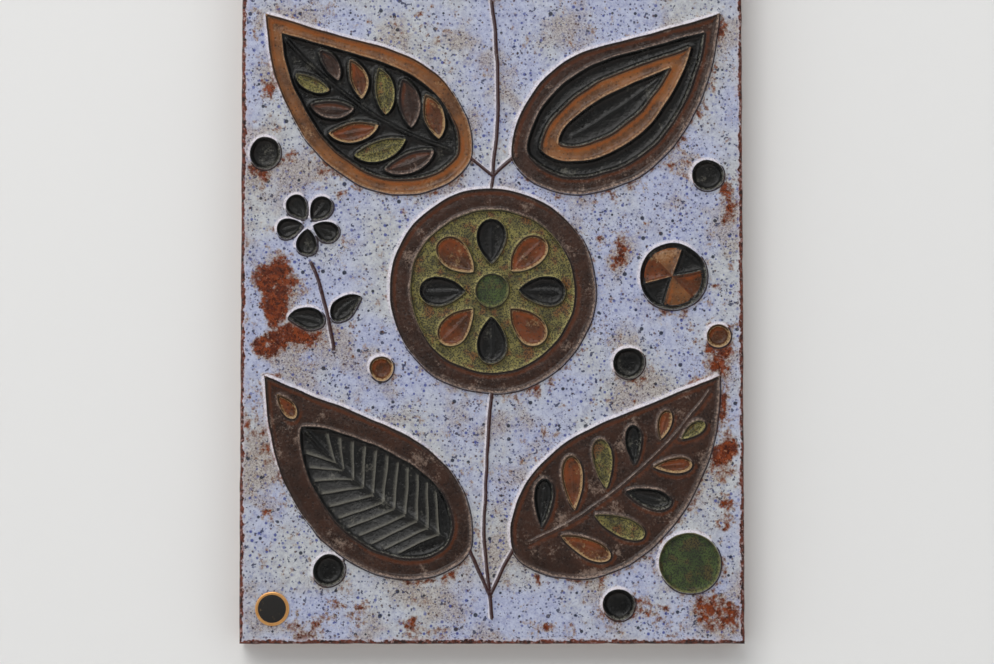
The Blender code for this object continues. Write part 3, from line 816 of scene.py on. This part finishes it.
def hollow_outline():
    """The hollow seen from the front: a rectangle inside the rim, less the lug at its top."""
    x, low, high = WIDTH / 2 - RIM_WIDTH, RIM_WIDTH, HEIGHT - RIM_WIDTH
    lug, drop = LUG_WIDTH / 2, HEIGHT - LUG_DROP
    around_lug = [(lug, high), (lug, drop), (-lug, drop), (-lug, high)]
    corners = [(-x, low), (x, low), (x, high), *around_lug, (-x, high)]
    outline = []
    for k, corner in enumerate(corners):
        before, after = Vector(corners[k - 1]), Vector(corners[(k + 1) % len(corners)])
        here = Vector(corner)
        to_before, to_after = (before - here).normalized(), (after - here).normalized()
        for j in range(9):
            a = math.pi / 2 * j / 8
            pull = to_before * (1 - math.sin(a)) + to_after * (1 - math.cos(a))
            outline.append(tuple(here + pull * HOLLOW_CORNER))
    return even(outline + outline[:1], 4 * MM)[:-1]


def shrunk(outline, by):
    """An outline drawn anti-clockwise, moved inwards by a set distance."""
    moved = []
    for k, (x, z) in enumerate(outline):
        (x1, z1), (x2, z2) = outline[k - 1], outline[(k + 1) % len(outline)]
        length = math.dist((x1, z1), (x2, z2))
        moved.append((x - by * (z2 - z1) / length, z + by * (x2 - x1) / length))
    return moved


def lay_back(shell, border):
    """The sides, the back rim with its lug, the hollow and the nail hole, from the face's border on."""
    border_flat = [shell.places[k][:2] for k in border]
    loop = border
    for depth in (*SIDE_DEPTHS, BACK_ROUND):
        loop = shell.strip(loop, [(x, z, depth) for x, z in border_flat], "side")
    for turn in (30, 60, 90):
        inset = BACK_ROUND * (1 - math.cos(math.radians(turn)))
        depth = BACK_ROUND * (1 - math.sin(math.radians(turn)))
        loop = shell.strip(loop, [(x, z, depth) for x, z in frame_loop(inset, EDGE_STEP)], "clay")

    hollow = hollow_outline()
    sides = 32
    hole_centre = (0.0, HEIGHT - NAIL_HOLE_BELOW_TOP)
    hole = [polar(hole_centre, NAIL_HOLE_RADIUS, 360 * k / sides) for k in range(sides)]
    mouth = shell.add([(x, z, 0.0) for x, z in hollow])
    hole_mouth = shell.add([(x, z, 0.0) for x, z in hole])
    spare = np.array(grid(BACK_STEP))
    in_hollow, in_hole = inside(hollow, spare), inside(hole, spare)
    rim_fill = spare[~in_hollow & ~in_hole & (to_edge(spare) > 3 * MM)]
    rim_fill = [tuple(p) for p in rim_fill if min(math.dist(p, q) for q in hollow + hole) > 2 * MM]
    clay = SURFACES.index("clay")
    loops = [loop, mouth, hole_mouth]
    shell.patch(loops, rim_fill, 0.0, clay, lambda p: ~inside(hollow, p) & ~inside(hole, p))

    loop = mouth
    for depth in (2.5 * MM, 5 * MM, HOLLOW_CLEAR - HOLLOW_FILLET):
        loop = shell.strip(loop, [(x, z, depth) for x, z in hollow], "clay")
    for turn in (22.5, 45, 67.5, 90):
        inset = HOLLOW_FILLET * (1 - math.cos(math.radians(turn)))
        depth = HOLLOW_CLEAR - HOLLOW_FILLET * (1 - math.sin(math.radians(turn)))
        loop = shell.strip(loop, [(x, z, depth) for x, z in shrunk(hollow, inset)], "clay")
    floor = shrunk(hollow, HOLLOW_FILLET)
    floor_fill = [tuple(p) for p in spare[inside(shrunk(hollow, HOLLOW_FILLET + 3 * MM), spare)]]
    shell.patch([loop], floor_fill, HOLLOW_CLEAR, clay, lambda p: inside(floor, p))

    loop = hole_mouth
    for depth in (3 * MM, 6 * MM, NAIL_HOLE_DEPTH):
        loop = shell.strip(loop, [(x, z, depth) for x, z in hole], "clay")
    shell.patch([loop], [hole_centre], NAIL_HOLE_DEPTH, clay, lambda p: inside(hole, p))


def hand_made(places):
    """Small unevenness of the slab's outer sides and of its back, always inwards."""
    moved = []
    for x, z, depth in places:
        from_side, from_end = WIDTH / 2 - abs(x), min(z, HEIGHT - z)
        along = Vector((x / (9 * MM), z / (9 * MM), depth / (14 * MM)))
        give = 0.28 * MM * (0.5 + noise.noise(along)) + 0.12 * MM * (0.5 + noise.noise(along * 3.1))
        give = max(0.0, give)
        deep = 6 * MM < depth < HOLLOW_CLEAR + 0.01 * MM
        if from_side < 3 * MM:
            x -= math.copysign(give * (1 - from_side / (3 * MM)), x)
        if from_end < 3 * MM:
            z += math.copysign(give * (1 - from_end / (3 * MM)), HEIGHT / 2 - z)
        if deep and from_side > RIM_WIDTH and from_end > RIM_WIDTH:
            depth -= 0.5 * MM * (0.5 + noise.noise(Vector((x / (22 * MM), z / (22 * MM), 4.0))))
        moved.append((x, z, depth))
    return moved


def placed(name, data, materials=()):
    """A new object of the scene, with its materials."""
    for material in materials:
        data.materials.append(material)
    made = bpy.data.objects.new(name, data)
    bpy.context.scene.collection.objects.link(made)
    return made


def plaque(materials):
    """The whole slab as one closed skin: the face with its relief, the sides and the hollow back."""
    relief = compose()
    runs = ridge_runs(relief)
    field = Field(runs)
    net = drawn_net(relief, field, runs)
    drawn = [Vector(p) for p in net.points]
    made, _, triangles, origins, _, _ = delaunay_2d_cdt(drawn, net.edges, [], 0, MERGE)
    flat = np.array([tuple(p) for p in made])
    lift, marks = shape_face(relief, field, flat)
    centres = flat[np.array(triangles)].mean(axis=1)
    glazes = glaze_at(relief, centres)
    shell = Shell()
    shell.add([(x, z, THICKNESS + h) for (x, z), h in zip(wander(flat).tolist(), lift.tolist())])
    shell.faces += [(list(face), int(glaze)) for face, glaze in zip(triangles, glazes)]
    where = {origin: k for k, sources in enumerate(origins) for origin in sources}
    lay_back(shell, [where[k] for k in range(len(frame_loop(0.0, EDGE_STEP)))])

    places = [(x, -depth, z - HEIGHT + TOP) for x, z, depth in hand_made(shell.places)]
    mesh = bpy.data.meshes.new("plaque_glazed")
    mesh.from_pydata(places, [], [face for face, _ in shell.faces])
    mesh.polygons.foreach_set("material_index", [surface for _, surface in shell.faces])
    bm = bmesh.new()
    bm.from_mesh(mesh)
    bmesh.ops.recalc_face_normals(bm, faces=bm.faces)
    bm.to_mesh(mesh)
    bm.free()
    for name, value in marks.items():
        whole = np.full(len(places), 1.0 if name == "arris" else 0.0, np.float32)
        whole[: len(value)] = value
        mesh.attributes.new(name, "FLOAT", "POINT").data.foreach_set("value", whole)
    mesh.shade_smooth()
    blunt_back(mesh)
    return placed("plaque_glazed", mesh, materials)


def blunt_back(mesh):
    """Keeps the edges of the hollow and the nail hole sharp. The face stays smooth all over."""
    mesh.set_sharp_from_angle(angle=SHARP_ANGLE)
    sharp = np.zeros(len(mesh.edges), bool)
    mesh.attributes["sharp_edge"].data.foreach_get("value", sharp)
    ends = np.zeros(len(mesh.edges) * 2, int)
    mesh.edges.foreach_get("vertices", ends)
    depth = -np.array([v.co.y for v in mesh.vertices])
    behind = depth[ends].reshape(-1, 2).max(axis=1) < THICKNESS - 1.5 * EDGE_ROUND
    mesh.attributes["sharp_edge"].data.foreach_set("value", sharp & behind)


def rgb(red, green, blue):
    """A colour as read off a screen, 0 to 255, made linear."""
    parts = [c / 255 for c in (red, green, blue)]
    return (*(c / 12.92 if c <= 0.04045 else ((c + 0.055) / 1.055) ** 2.4 for c in parts), 1.0)


class Part:
    """A node's output, to be added to and multiplied like a number."""

    def __init__(self, nodes, socket):
        self.nodes, self.socket = nodes, socket

    def __add__(self, other):
        return self.nodes.math("ADD", self, other)

    def __sub__(self, number):
        return self + -number

    def __mul__(self, other):
        return self.nodes.math("MULTIPLY", self, other)

    def window(self, low, high, bottom=0.0, top=1.0):
        """From bottom, at low, to top, at high, with a smooth rise; high may be under low."""
        inputs = {"Value": self, "From Min": low, "From Max": high, "To Min": bottom, "To Max": top}
        return self.nodes.part("Result", "MapRange", inputs, interpolation_type="SMOOTHSTEP")


class Nodes:
    """A node tree, with short calls to add to it."""

    def __init__(self, tree):
        self.tree = tree

    def feed(self, socket, value):
        value = value.socket if isinstance(value, Part) else value
        if isinstance(value, bpy.types.NodeSocket):
            self.tree.links.new(value, socket)
        else:
            socket.default_value = value

    def node(self, kind, inputs, **settings):
        """A new node with its settings made and its inputs fed, by name or by number."""
        made = self.tree.nodes.new("ShaderNode" + kind)
        for name, value in settings.items():
            setattr(made, name, value)
        for place, value in inputs.items():
            self.feed(made.inputs[place], value)
        return made

    def part(self, output, kind, inputs=None, **settings):
        """One output of a new node."""
        return Part(self, self.node(kind, inputs or {}, **settings).outputs[output])

    def math(self, operation, a, b):
        return self.part("Value", "Math", {0: a, 1: b}, operation=operation)


class Finish(Nodes):
    """A material, with one short call for each kind of pattern that the finishes use."""

    def __init__(self, name, roughness=0.3, specular=0.4):
        self.material = bpy.data.materials.new(name)
        self.material.use_nodes = True
        super().__init__(self.material.node_tree)
        self.shader = self.tree.nodes["Principled BSDF"]
        self.place = self.part("Object", "TexCoord")
        ways = self.node("SeparateXYZ", {"Vector": self.place}).outputs
        self.out = Part(self, ways["Y"])
        # The place across and up the face alone, so that a dot is whole however deep it lies.
        self.flat = self.part("Vector", "CombineXYZ", {"X": ways["X"], "Y": ways["Z"]})
        self.colour = None
        self.set("Roughness", roughness)
        self.set("Specular IOR Level", specular)

    def set(self, name, value):
        self.feed(self.shader.inputs[name], value)

    def attribute(self, name):
        return self.part("Fac", "Attribute", attribute_name=name)

    def noise(self, size, detail=3.0, roughness=0.55, seed=0.0, stretch=None):
        """Smooth noise from 0 to 1 with lumps of about the given size in millimetres."""
        place = self.place
        if stretch:
            place = self.part("Vector", "VectorMath", {0: place, 1: stretch}, operation="MULTIPLY")
        inputs = {"Vector": place, "Scale": 1 / (size * MM), "Detail": detail, "W": seed}
        inputs["Roughness"] = roughness
        return self.part("Fac", "TexNoise", inputs, noise_dimensions="4D")

    def dots(self, cell, radius, keep, seed=0.0, soft=0.5, all_round=False):
        """Round dots of this radius: one in each cell of this size in mm, in a share of the cells."""
        shift = (0.37 * seed, 0.53 * seed, 0.0)
        inputs = {0: self.place if all_round else self.flat, 1: shift}
        place = self.part("Vector", "VectorMath", inputs, operation="ADD")
        inputs = {"Vector": place, "Scale": 1 / (cell * MM)}
        cells = self.node("TexVoronoi", inputs, voronoi_dimensions="3D" if all_round else "2D")
        chance = self.node("SeparateColor", {"Color": cells.outputs["Color"]}).outputs
        size = Part(self, chance["Red"]) * (radius / cell * 0.7) + radius / cell * 0.5
        dot = Part(self, cells.outputs["Distance"]).window(size, size * (1 - soft))
        return dot * Part(self, chance["Green"]).window(1 - keep + 0.01, 1 - keep + 0.02)

    def blend(self, amount, a, b):
        """From a to b. A colour is given as three numbers from 0 to 255, or as four linear ones."""
        a, b = (rgb(*c) if isinstance(c, tuple) and len(c) == 3 else c for c in (a, b))
        return self.part(2, "Mix", {0: amount, 6: a, 7: b}, data_type="RGBA")

    def start(self, amount, a, b):
        self.colour = self.blend(amount, a, b)

    def paint(self, mask, colour, strength=None):
        """Lays a colour over what is there, where the mask is over 0."""
        self.colour = self.blend(mask if strength is None else mask * strength, self.colour, colour)

    def bump(self, height, distance, strength):
        inputs = {"Height": height, "Distance": distance, "Strength": strength}
        self.set("Normal", self.part("Normal", "Bump", inputs))

    def done(self):
        self.set("Base Color", self.colour)
        return self.material


def arris(f):
    """The slab's edges, where the glaze has run thin over the dark clay and broken."""
    broken = f.noise(2.2, detail=5, roughness=0.65, seed=4.1)
    reach = f.attribute("arris") + broken * 1.6 + f.noise(13, seed=9.3) * 0.9
    f.paint(reach.window(1.44, 1.78), (194, 182, 188), 0.50)
    dark = f.blend(f.noise(1.6, seed=1.7).window(0.34, 0.66), (34, 17, 15), (104, 52, 38))
    chips = f.noise(1.2, detail=3, roughness=0.65, seed=6.2).window(0.54, 0.66)
    f.paint(reach.window(1.74, 1.92), f.blend(chips * 0.75, dark, (170, 142, 138)))


def ground_glaze():
    """The pale blue ground: cobalt smudges, iron pepper, beige clouds and rust stains."""
    f = Finish("glaze_ground", specular=0.26)
    grain = f.noise(0.75, detail=3, roughness=0.75, seed=2.2)
    lumps = f.noise(6.5, detail=5, roughness=0.65, seed=5.5)
    mottle = f.noise(2.4, detail=4, roughness=0.65, seed=2.0)
    lavender = f.blend(mottle.window(0.34, 0.62), (147, 152, 183), (171, 177, 203))
    grey = f.blend(mottle.window(0.34, 0.62), (158, 160, 168), (184, 186, 189))
    f.start(f.noise(38, detail=2, seed=5.0).window(0.40, 0.60), lavender, grey)
    f.paint(grain.window(0.40, 0.64), (196, 199, 203), 0.30)
    f.paint(grain.window(0.50, 0.36), (112, 112, 134), 0.18)

    stain = f.attribute("stain")
    beige = (f.noise(24, detail=5, seed=21.0) + stain * 0.16).window(0.49, 0.62)
    tan = f.blend(grain.window(0.36, 0.64), (112, 92, 82), (178, 168, 156))
    f.paint(beige, tan, 0.66)

    cluster = f.noise(17, seed=31.0).window(0.38, 0.58) * 0.65 + 0.35
    smudges = f.noise(1.5, detail=2, roughness=0.5, seed=6.0).window(0.585, 0.66)
    f.paint(smudges * cluster, (80, 88, 148), 0.50)
    cobalt = f.dots(3.6, 0.86, 0.62, seed=2.5, soft=0.55)
    f.paint(cobalt * cluster, (58, 68, 134), 0.90)
    f.paint(f.noise(1.9, detail=2, roughness=0.45, seed=26.0).window(0.645, 0.69), (44, 48, 72), 0.86)
    f.paint(f.dots(8.2, 1.0, 0.42, seed=7.0, soft=0.4), (26, 32, 46), 0.92)
    f.paint(f.dots(2.2, 0.60, 0.46, seed=6.5, soft=0.6), (54, 60, 96), 0.78)
    clouds = (f.noise(20, detail=4, seed=41.0) + beige * 0.14).window(0.49, 0.62)
    pepper = f.noise(1.0, detail=2, roughness=0.6, seed=16.0).window(0.56, 0.65)
    f.paint(pepper * clouds, (72, 48, 38), 0.82)
    f.paint(f.dots(3.4, 0.60, 0.4, seed=3.4, soft=0.5), (70, 42, 32), 0.80)

    drips = f.noise(5, detail=3, seed=14.0, stretch=(1.0, 1.0, 0.35))
    blobs = f.noise(2.8, detail=3, roughness=0.6, seed=24.0)
    # Rust soaks in at the stains and, as partly painted shade, more on the side of the rims turned from
    # the light.
    soaked = stain + f.attribute("seep_and_shade") * 0.38
    soaked += (lumps - 0.5) * 1.9 + (drips - 0.5) * 0.6
    soaked += (blobs - 0.5) * 1.9 + (grain - 0.5) * 0.6
    f.paint(soaked.window(0.20, 0.50), f.blend(grain.window(0.40, 0.60), (110, 66, 44), tan), 0.80)
    core = f.noise(3.0, detail=4, roughness=0.7, seed=19.0).window(0.38, 0.62)
    rust = f.blend(core, (78, 30, 13), (124, 56, 24))
    flecks = f.noise(1.5, detail=3, roughness=0.65, seed=17.0).window(0.60, 0.70)
    rust = f.blend(flecks * 0.65, rust, (186, 136, 104))
    specks = f.noise(1.1, detail=3, roughness=0.6, seed=27.0).window(0.50, 0.60)
    rust = f.blend(specks * 0.8, rust, (40, 13, 6))
    f.paint(soaked.window(0.42, 0.70), rust, 0.97)

    # Chalky pale about the lines, mostly on their lit side, which is painted highlight.
    halo_and_highlight = (f.attribute("halo_and_highlight") + f.noise(1.9, seed=3.3) * 0.45).window(0.55, 1.0)
    chalk_and_highlight = f.blend(grain.window(0.34, 0.54), (170, 160, 172), (220, 214, 220))
    f.paint(halo_and_highlight * (lumps.window(0.40, 0.58) * 0.32 + 0.62), chalk_and_highlight)
    # A dark line on the side of each line turned from the light: painted shade.
    f.paint((f.attribute("painted_shade") + f.noise(2.6, seed=7.3) * 0.35).window(0.45, 0.80), (32, 17, 16), 0.94)
    f.paint((f.attribute("twig") + f.noise(2.0, seed=6.3) * 0.3).window(0.50, 0.80), (52, 25, 22), 0.92)
    arris(f)

    f.bump(grain * 0.5 + f.noise(2.6, detail=2, seed=9.0), 0.24 * MM, 0.6)
    f.set("Roughness", mottle * 0.16 + 0.18)
    return f.done()


def dark_glaze(name, deep, body, warm, grey, thin_and_highlight, amber, margin):
    """A glaze that is dark on the side of each ridge turned from the light, which is painted shade, and
    pale on the slopes facing the light, which is painted highlight.
    """
    f = Finish(name, specular=0.24)
    mottle, fine = f.noise(9, detail=5, seed=2.0), f.noise(1.0, detail=4, roughness=0.7, seed=4.0)
    ragged = f.noise(1.3, detail=4, roughness=0.7, seed=8.0)
    f.start(mottle.window(0.36, 0.64), body, warm)
    veil = f.noise(21, detail=3, seed=35.0).window(0.38, 0.62)
    f.paint(fine.window(0.46, 0.66) * (veil * 0.45 + 0.22), grey)
    frost = (f.noise(9, detail=4, seed=15.0) + fine * 0.6).window(0.88, 1.04)
    f.paint(frost, thin_and_highlight, 0.45)
    pits = f.dots(1.9, 0.6, 0.45, seed=12.0, soft=0.6)
    f.paint(pits, deep, 0.55)
    # An amber band on the side of each line turned from the light, placed by the light's direction.
    f.paint((f.attribute("amber") + ragged * 0.6).window(0.60, 1.20), amber, 0.65)
    f.paint((f.attribute("margin") * 0.55 + fine).window(0.78, 0.98), thin_and_highlight, margin)
    spent = f.noise(7, detail=3, seed=44.0).window(0.36, 0.60)
    # A pale band on the slopes facing the light: painted highlight.
    pale = (f.attribute("thin_and_highlight") + (ragged - 0.5) * 1.5).window(0.30, 0.95)
    f.paint(pale * (spent * 0.52 + 0.38), f.blend(fine.window(0.42, 0.58), grey, thin_and_highlight))
    f.paint((f.attribute("slat") + fine * 0.25).window(0.72, 1.15), thin_and_highlight, 0.60)
    f.paint((f.attribute("crest") + (ragged - 0.5) * 0.6).window(0.84, 1.12), thin_and_highlight, 0.5)
    # Painted shade on the side of each line turned from the light.
    f.paint((f.attribute("painted_shade") + fine * 0.35).window(0.45, 0.85), deep, 0.92)
    f.bump(fine * 0.55 + f.noise(2.2, detail=3, seed=9.0) + pits * -0.25, 0.34 * MM, 0.65)
    f.set("Roughness", mottle * 0.2 + 0.19)
    return f.done()


def speckled_glaze(name, light, body, thin_and_highlight, amber):
    """A dry green glaze, thick with dark specks, with iron coming through in places."""
    f = Finish(name, roughness=0.5, specular=0.33)
    ragged = f.noise(1.3, detail=4, roughness=0.7, seed=8.0)
    f.start(f.noise(5, seed=3.0).window(0.35, 0.65), body, light)
    f.paint(f.noise(6, detail=4, seed=33.0).window(0.50, 0.62), amber, 0.75)
    # A pale band on the slopes facing the light: painted highlight.
    f.paint((f.attribute("thin_and_highlight") + (ragged - 0.5) * 0.9).window(0.20, 0.9), thin_and_highlight, 0.7)
    small = f.dots(0.68, 0.40, 0.75, seed=2.0, soft=0.6)
    dark = f.math("MAXIMUM", small, f.dots(1.2, 0.55, 0.6, seed=5.0, soft=0.6))
    f.paint(dark, (20, 20, 13), 0.86)
    # Painted shade on the side of each line turned from the light.
    f.paint((f.attribute("painted_shade") + ragged * 0.35).window(0.50, 1.0), (26, 20, 14), 0.9)
    f.paint((f.attribute("crest") + ragged * 0.3).window(0.95, 1.2), thin_and_highlight, 0.7)
    f.bump(dark * -0.5 + f.noise(1.2, seed=6.0), 0.22 * MM, 0.7)
    return f.done()


def side_clay():
    """The slab's sides: dark iron clay with the glaze run thinly over its front edge."""
    f = Finish("iron_side", roughness=0.55)
    mottle, fine = f.noise(7, detail=4, seed=2.0), f.noise(1.2, seed=4.0)
    f.start(mottle, (58, 32, 24), (104, 62, 44))
    f.paint(fine.window(0.45, 0.7), (132, 92, 70), 0.5)
    run = f.out * (-1 / THICKNESS) + f.noise(8, detail=3, seed=11.0) * 0.45
    washed = run.window(0.92, 1.15)
    f.paint(washed, (150, 134, 134), 0.55)
    chips = f.noise(2.6, seed=6.0).window(0.58, 0.68)
    f.paint(chips * washed, (198, 188, 196), 0.7)
    f.bump(fine + f.noise(3.0, seed=9.0), 0.25 * MM, 0.7)
    return f.done()


def back_clay():
    """Bare fired clay with grog in it, and the marks of the cloth it dried on."""
    f = Finish("bare_clay", roughness=0.85)
    f.start(f.noise(18, detail=4, seed=2.0), (168, 120, 92), (202, 156, 122))
    f.paint(f.dots(2.1, 0.75, 0.6, seed=3.0, all_round=True), (216, 182, 152), 0.6)
    f.paint(f.dots(3.4, 0.9, 0.5, seed=7.0, all_round=True), (58, 34, 26), 0.7)
    f.paint(f.noise(9, seed=5.0, stretch=(1.0, 1.0, 3.0)).window(0.55, 0.75), (176, 140, 112), 0.35)
    f.bump(f.noise(1.3, seed=6.0) + f.noise(5, seed=8.0), 0.3 * MM, 0.8)
    return f.done()


def glazes():
    """The materials in the order of SURFACES."""
    # Deep (also for painted shade), body, warm, grey, thin (also for painted highlight) and amber tones,
    # and how thickly pale sprinkles lie along the lines.
    tones = {
        "brown": ((18, 9, 8), (42, 29, 24), (56, 35, 26), (78, 64, 58), (158, 136, 122), (86, 44, 22)),
        "black": ((5, 5, 5), (14, 14, 14), (20, 19, 18), (32, 32, 32), (116, 113, 103), (24, 18, 15)),
        "rust": ((26, 12, 7), (68, 40, 24), (106, 54, 27), (90, 66, 50), (184, 154, 112), (128, 62, 22)),
        "copper": (
            (30, 18, 14), (84, 56, 38), (126, 80, 44), (112, 84, 62), (178, 142, 106), (144, 78, 30)
        ),
    }
    margins = (0.05, 0.0, 0.60, 0.10)
    dark = [dark_glaze(f"glaze_{name}", *tones[name], margin) for name, margin in zip(tones, margins)]
    olive = speckled_glaze("glaze_olive", (122, 114, 62), (82, 76, 40), (158, 148, 96), (104, 58, 28))
    green = speckled_glaze("glaze_green", (62, 77, 34), (40, 53, 22), (114, 112, 66), (74, 58, 28))
    return [ground_glaze(), *dark, olive, green, side_clay(), back_clay()]


def foil():
    f = Finish("gold_foil", roughness=0.32)
    f.start(f.noise(2.0, detail=4, seed=2.0), (188, 126, 68), (224, 174, 112))
    f.set("Metallic", 0.55)
    f.bump(f.noise(0.8, seed=4.0), 0.05 * MM, 0.5)
    return f.done()


def foil_print():
    f = Finish("foil_print", roughness=0.42)
    f.start(f.noise(1.6, detail=4, seed=2.0), (14, 12, 11), (27, 23, 20))
    f.paint(f.noise(1.1, seed=5.0).window(0.64, 0.70), (120, 96, 66), 0.5)
    f.bump(f.noise(0.9, seed=4.0), 0.04 * MM, 0.5)
    return f.done()


def sticker(materials):
    """A round foil sticker, pressed down at its rim: a gold ring about a black field."""
    low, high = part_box("sticker")
    centre, radius, thick = (low + high) / 2, (high.x - low.x) / 2, high.y - low.y
    sides = 96
    bm = bmesh.new()
    rings = []
    for reach, rise in STICKER_PROFILE[1:]:
        shift = PRINT_OFF * radius * (1 - reach)
        ring = []
        for k in range(sides):
            a = 2 * math.pi * k / sides
            x = centre.x - shift + radius * reach * math.cos(a)
            z = centre.z + radius * reach * math.sin(a)
            ring.append(bm.verts.new((x, high.y - thick * rise, z)))
        rings.append(ring)
    rings.append([bm.verts.new((v.co.x, high.y, v.co.z)) for v in rings[-1]])
    crown = high.y - thick * STICKER_PROFILE[0][1]
    front = bm.verts.new((centre.x - PRINT_OFF * radius, crown, centre.z))
    back = bm.verts.new((centre.x, high.y, centre.z))
    for k in range(sides):
        bm.faces.new((front, rings[0][k - 1], rings[0][k])).material_index = 1
        bm.faces.new((back, rings[-1][k], rings[-1][k - 1]))
        for number, (inner, outer) in enumerate(zip(rings, rings[1:])):
            face = bm.faces.new((inner[k - 1], outer[k - 1], outer[k], inner[k]))
            face.material_index = 1 if number < PRINTED_RINGS else 0
    bmesh.ops.recalc_face_normals(bm, faces=bm.faces)
    mesh = bpy.data.meshes.new("sticker_foil")
    bm.to_mesh(mesh)
    bm.free()
    mesh.shade_smooth()
    mesh.set_sharp_from_angle(angle=SHARP_ANGLE)
    return placed("sticker_foil", mesh, materials)


def plain(name, colour):
    """A matt finish for the stage, barely uneven. Its colour is a linear one."""
    f = Finish(name, roughness=0.9)
    f.start(f.noise(300, detail=1), colour, (*(c * 0.97 for c in colour[:3]), 1.0))
    return f, f.done()


def sheet_of(name, corners, material):
    mesh = bpy.data.meshes.new(name)
    mesh.from_pydata(corners, [], [(0, 1, 2, 3)])
    placed(name, mesh, [material])


def one_sided(finish):
    """Lets light and sight through the wall from behind, so that the plaque's back can be seen too."""
    behind = finish.part("Backfacing", "NewGeometry")
    clear = finish.part(0, "BsdfTransparent")
    hidden = finish.math("MAXIMUM", behind, finish.part("Is Shadow Ray", "LightPath"))
    output = next(n for n in finish.tree.nodes if n.type == "OUTPUT_MATERIAL")
    swapped = finish.part(0, "MixShader", {0: hidden, 1: finish.shader.outputs[0], 2: clear})
    finish.feed(output.inputs["Surface"], swapped)


def stage():
    """A pale wall close behind the plaque and a pale floor well below it."""
    wall_finish, wall_paint = plain("stage_wall", (0.79, 0.785, 0.78, 1.0))
    one_sided(wall_finish)
    _, floor_paint = plain("stage_floor", (0.72, 0.71, 0.69, 1.0))
    wide, floor, ceiling, back = 5.0, -1.45, 2.4, 1 * MM
    wall = [(-wide, back, floor), (wide, back, floor), (wide, back, ceiling), (-wide, back, ceiling)]
    sheet_of("stage_wall", wall, wall_paint)
    ground = [(-wide, -wide, floor), (wide, -wide, floor), (wide, wide, floor), (-wide, wide, floor)]
    sheet_of("stage_floor", ground, floor_paint)


def area_light(name, place, size, watts, colour, target):
    light = bpy.data.lights.new(name, "AREA")
    light.shape = "RECTANGLE"
    light.size, light.size_y = size
    light.energy = watts
    light.color = colour
    made = placed(name, light)
    made.location = place
    made.rotation_euler = (Vector(target) - Vector(place)).to_track_quat("-Z", "Y").to_euler()


def soft_room():
    """Light from the room's pale walls: more from the window's side, less from the front."""
    world = bpy.data.worlds.new("soft_room")
    world.use_nodes = True
    room = Nodes(world.node_tree)
    way = room.part("Generated", "TexCoord")
    depth = room.part("Y", "SeparateXYZ", {"Vector": way})
    window_side = (-0.80, 0.0, 0.60)
    towards = room.part("Value", "VectorMath", {0: way, 1: window_side}, operation="DOT_PRODUCT")
    strength = depth.window(-1.0, -0.66, 0.07, 0.74) * towards.window(-1.0, 1.0, 0.50, 1.50)
    background = room.tree.nodes["Background"].inputs
    room.feed(background["Color"], (0.96, 0.98, 1.0, 1.0))
    room.feed(background["Strength"], strength)
    return world


def light_and_look():
    scene = bpy.context.scene
    scene.view_settings.view_transform = "Standard"
    scene.world = soft_room()
    middle = (0.0, 0.0, TOP - HEIGHT / 2)
    area_light("key", (-0.60, -2.0, 1.10), (1.5, 1.5), 27, (1.0, 0.985, 0.96), middle)
    area_light("fill", (1.8, -2.6, 0.2), (2.2, 2.2), 7, (0.96, 0.98, 1.0), middle)

    camera = bpy.data.cameras.new("camera")
    camera.sensor_width = CAMERA_SENSOR
    camera.lens = CAMERA_LENS
    scene.camera = placed("camera", camera)
    scene.camera.location = CAMERA_PLACE
    scene.camera.rotation_euler = (math.pi / 2 + CAMERA_TILT, 0.0, 0.0)


face = plaque(glazes())
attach(face, "root")
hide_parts("plaque")

label = sticker([foil(), foil_print()])
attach(label, "root")
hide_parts("sticker")

stage()
light_and_look()
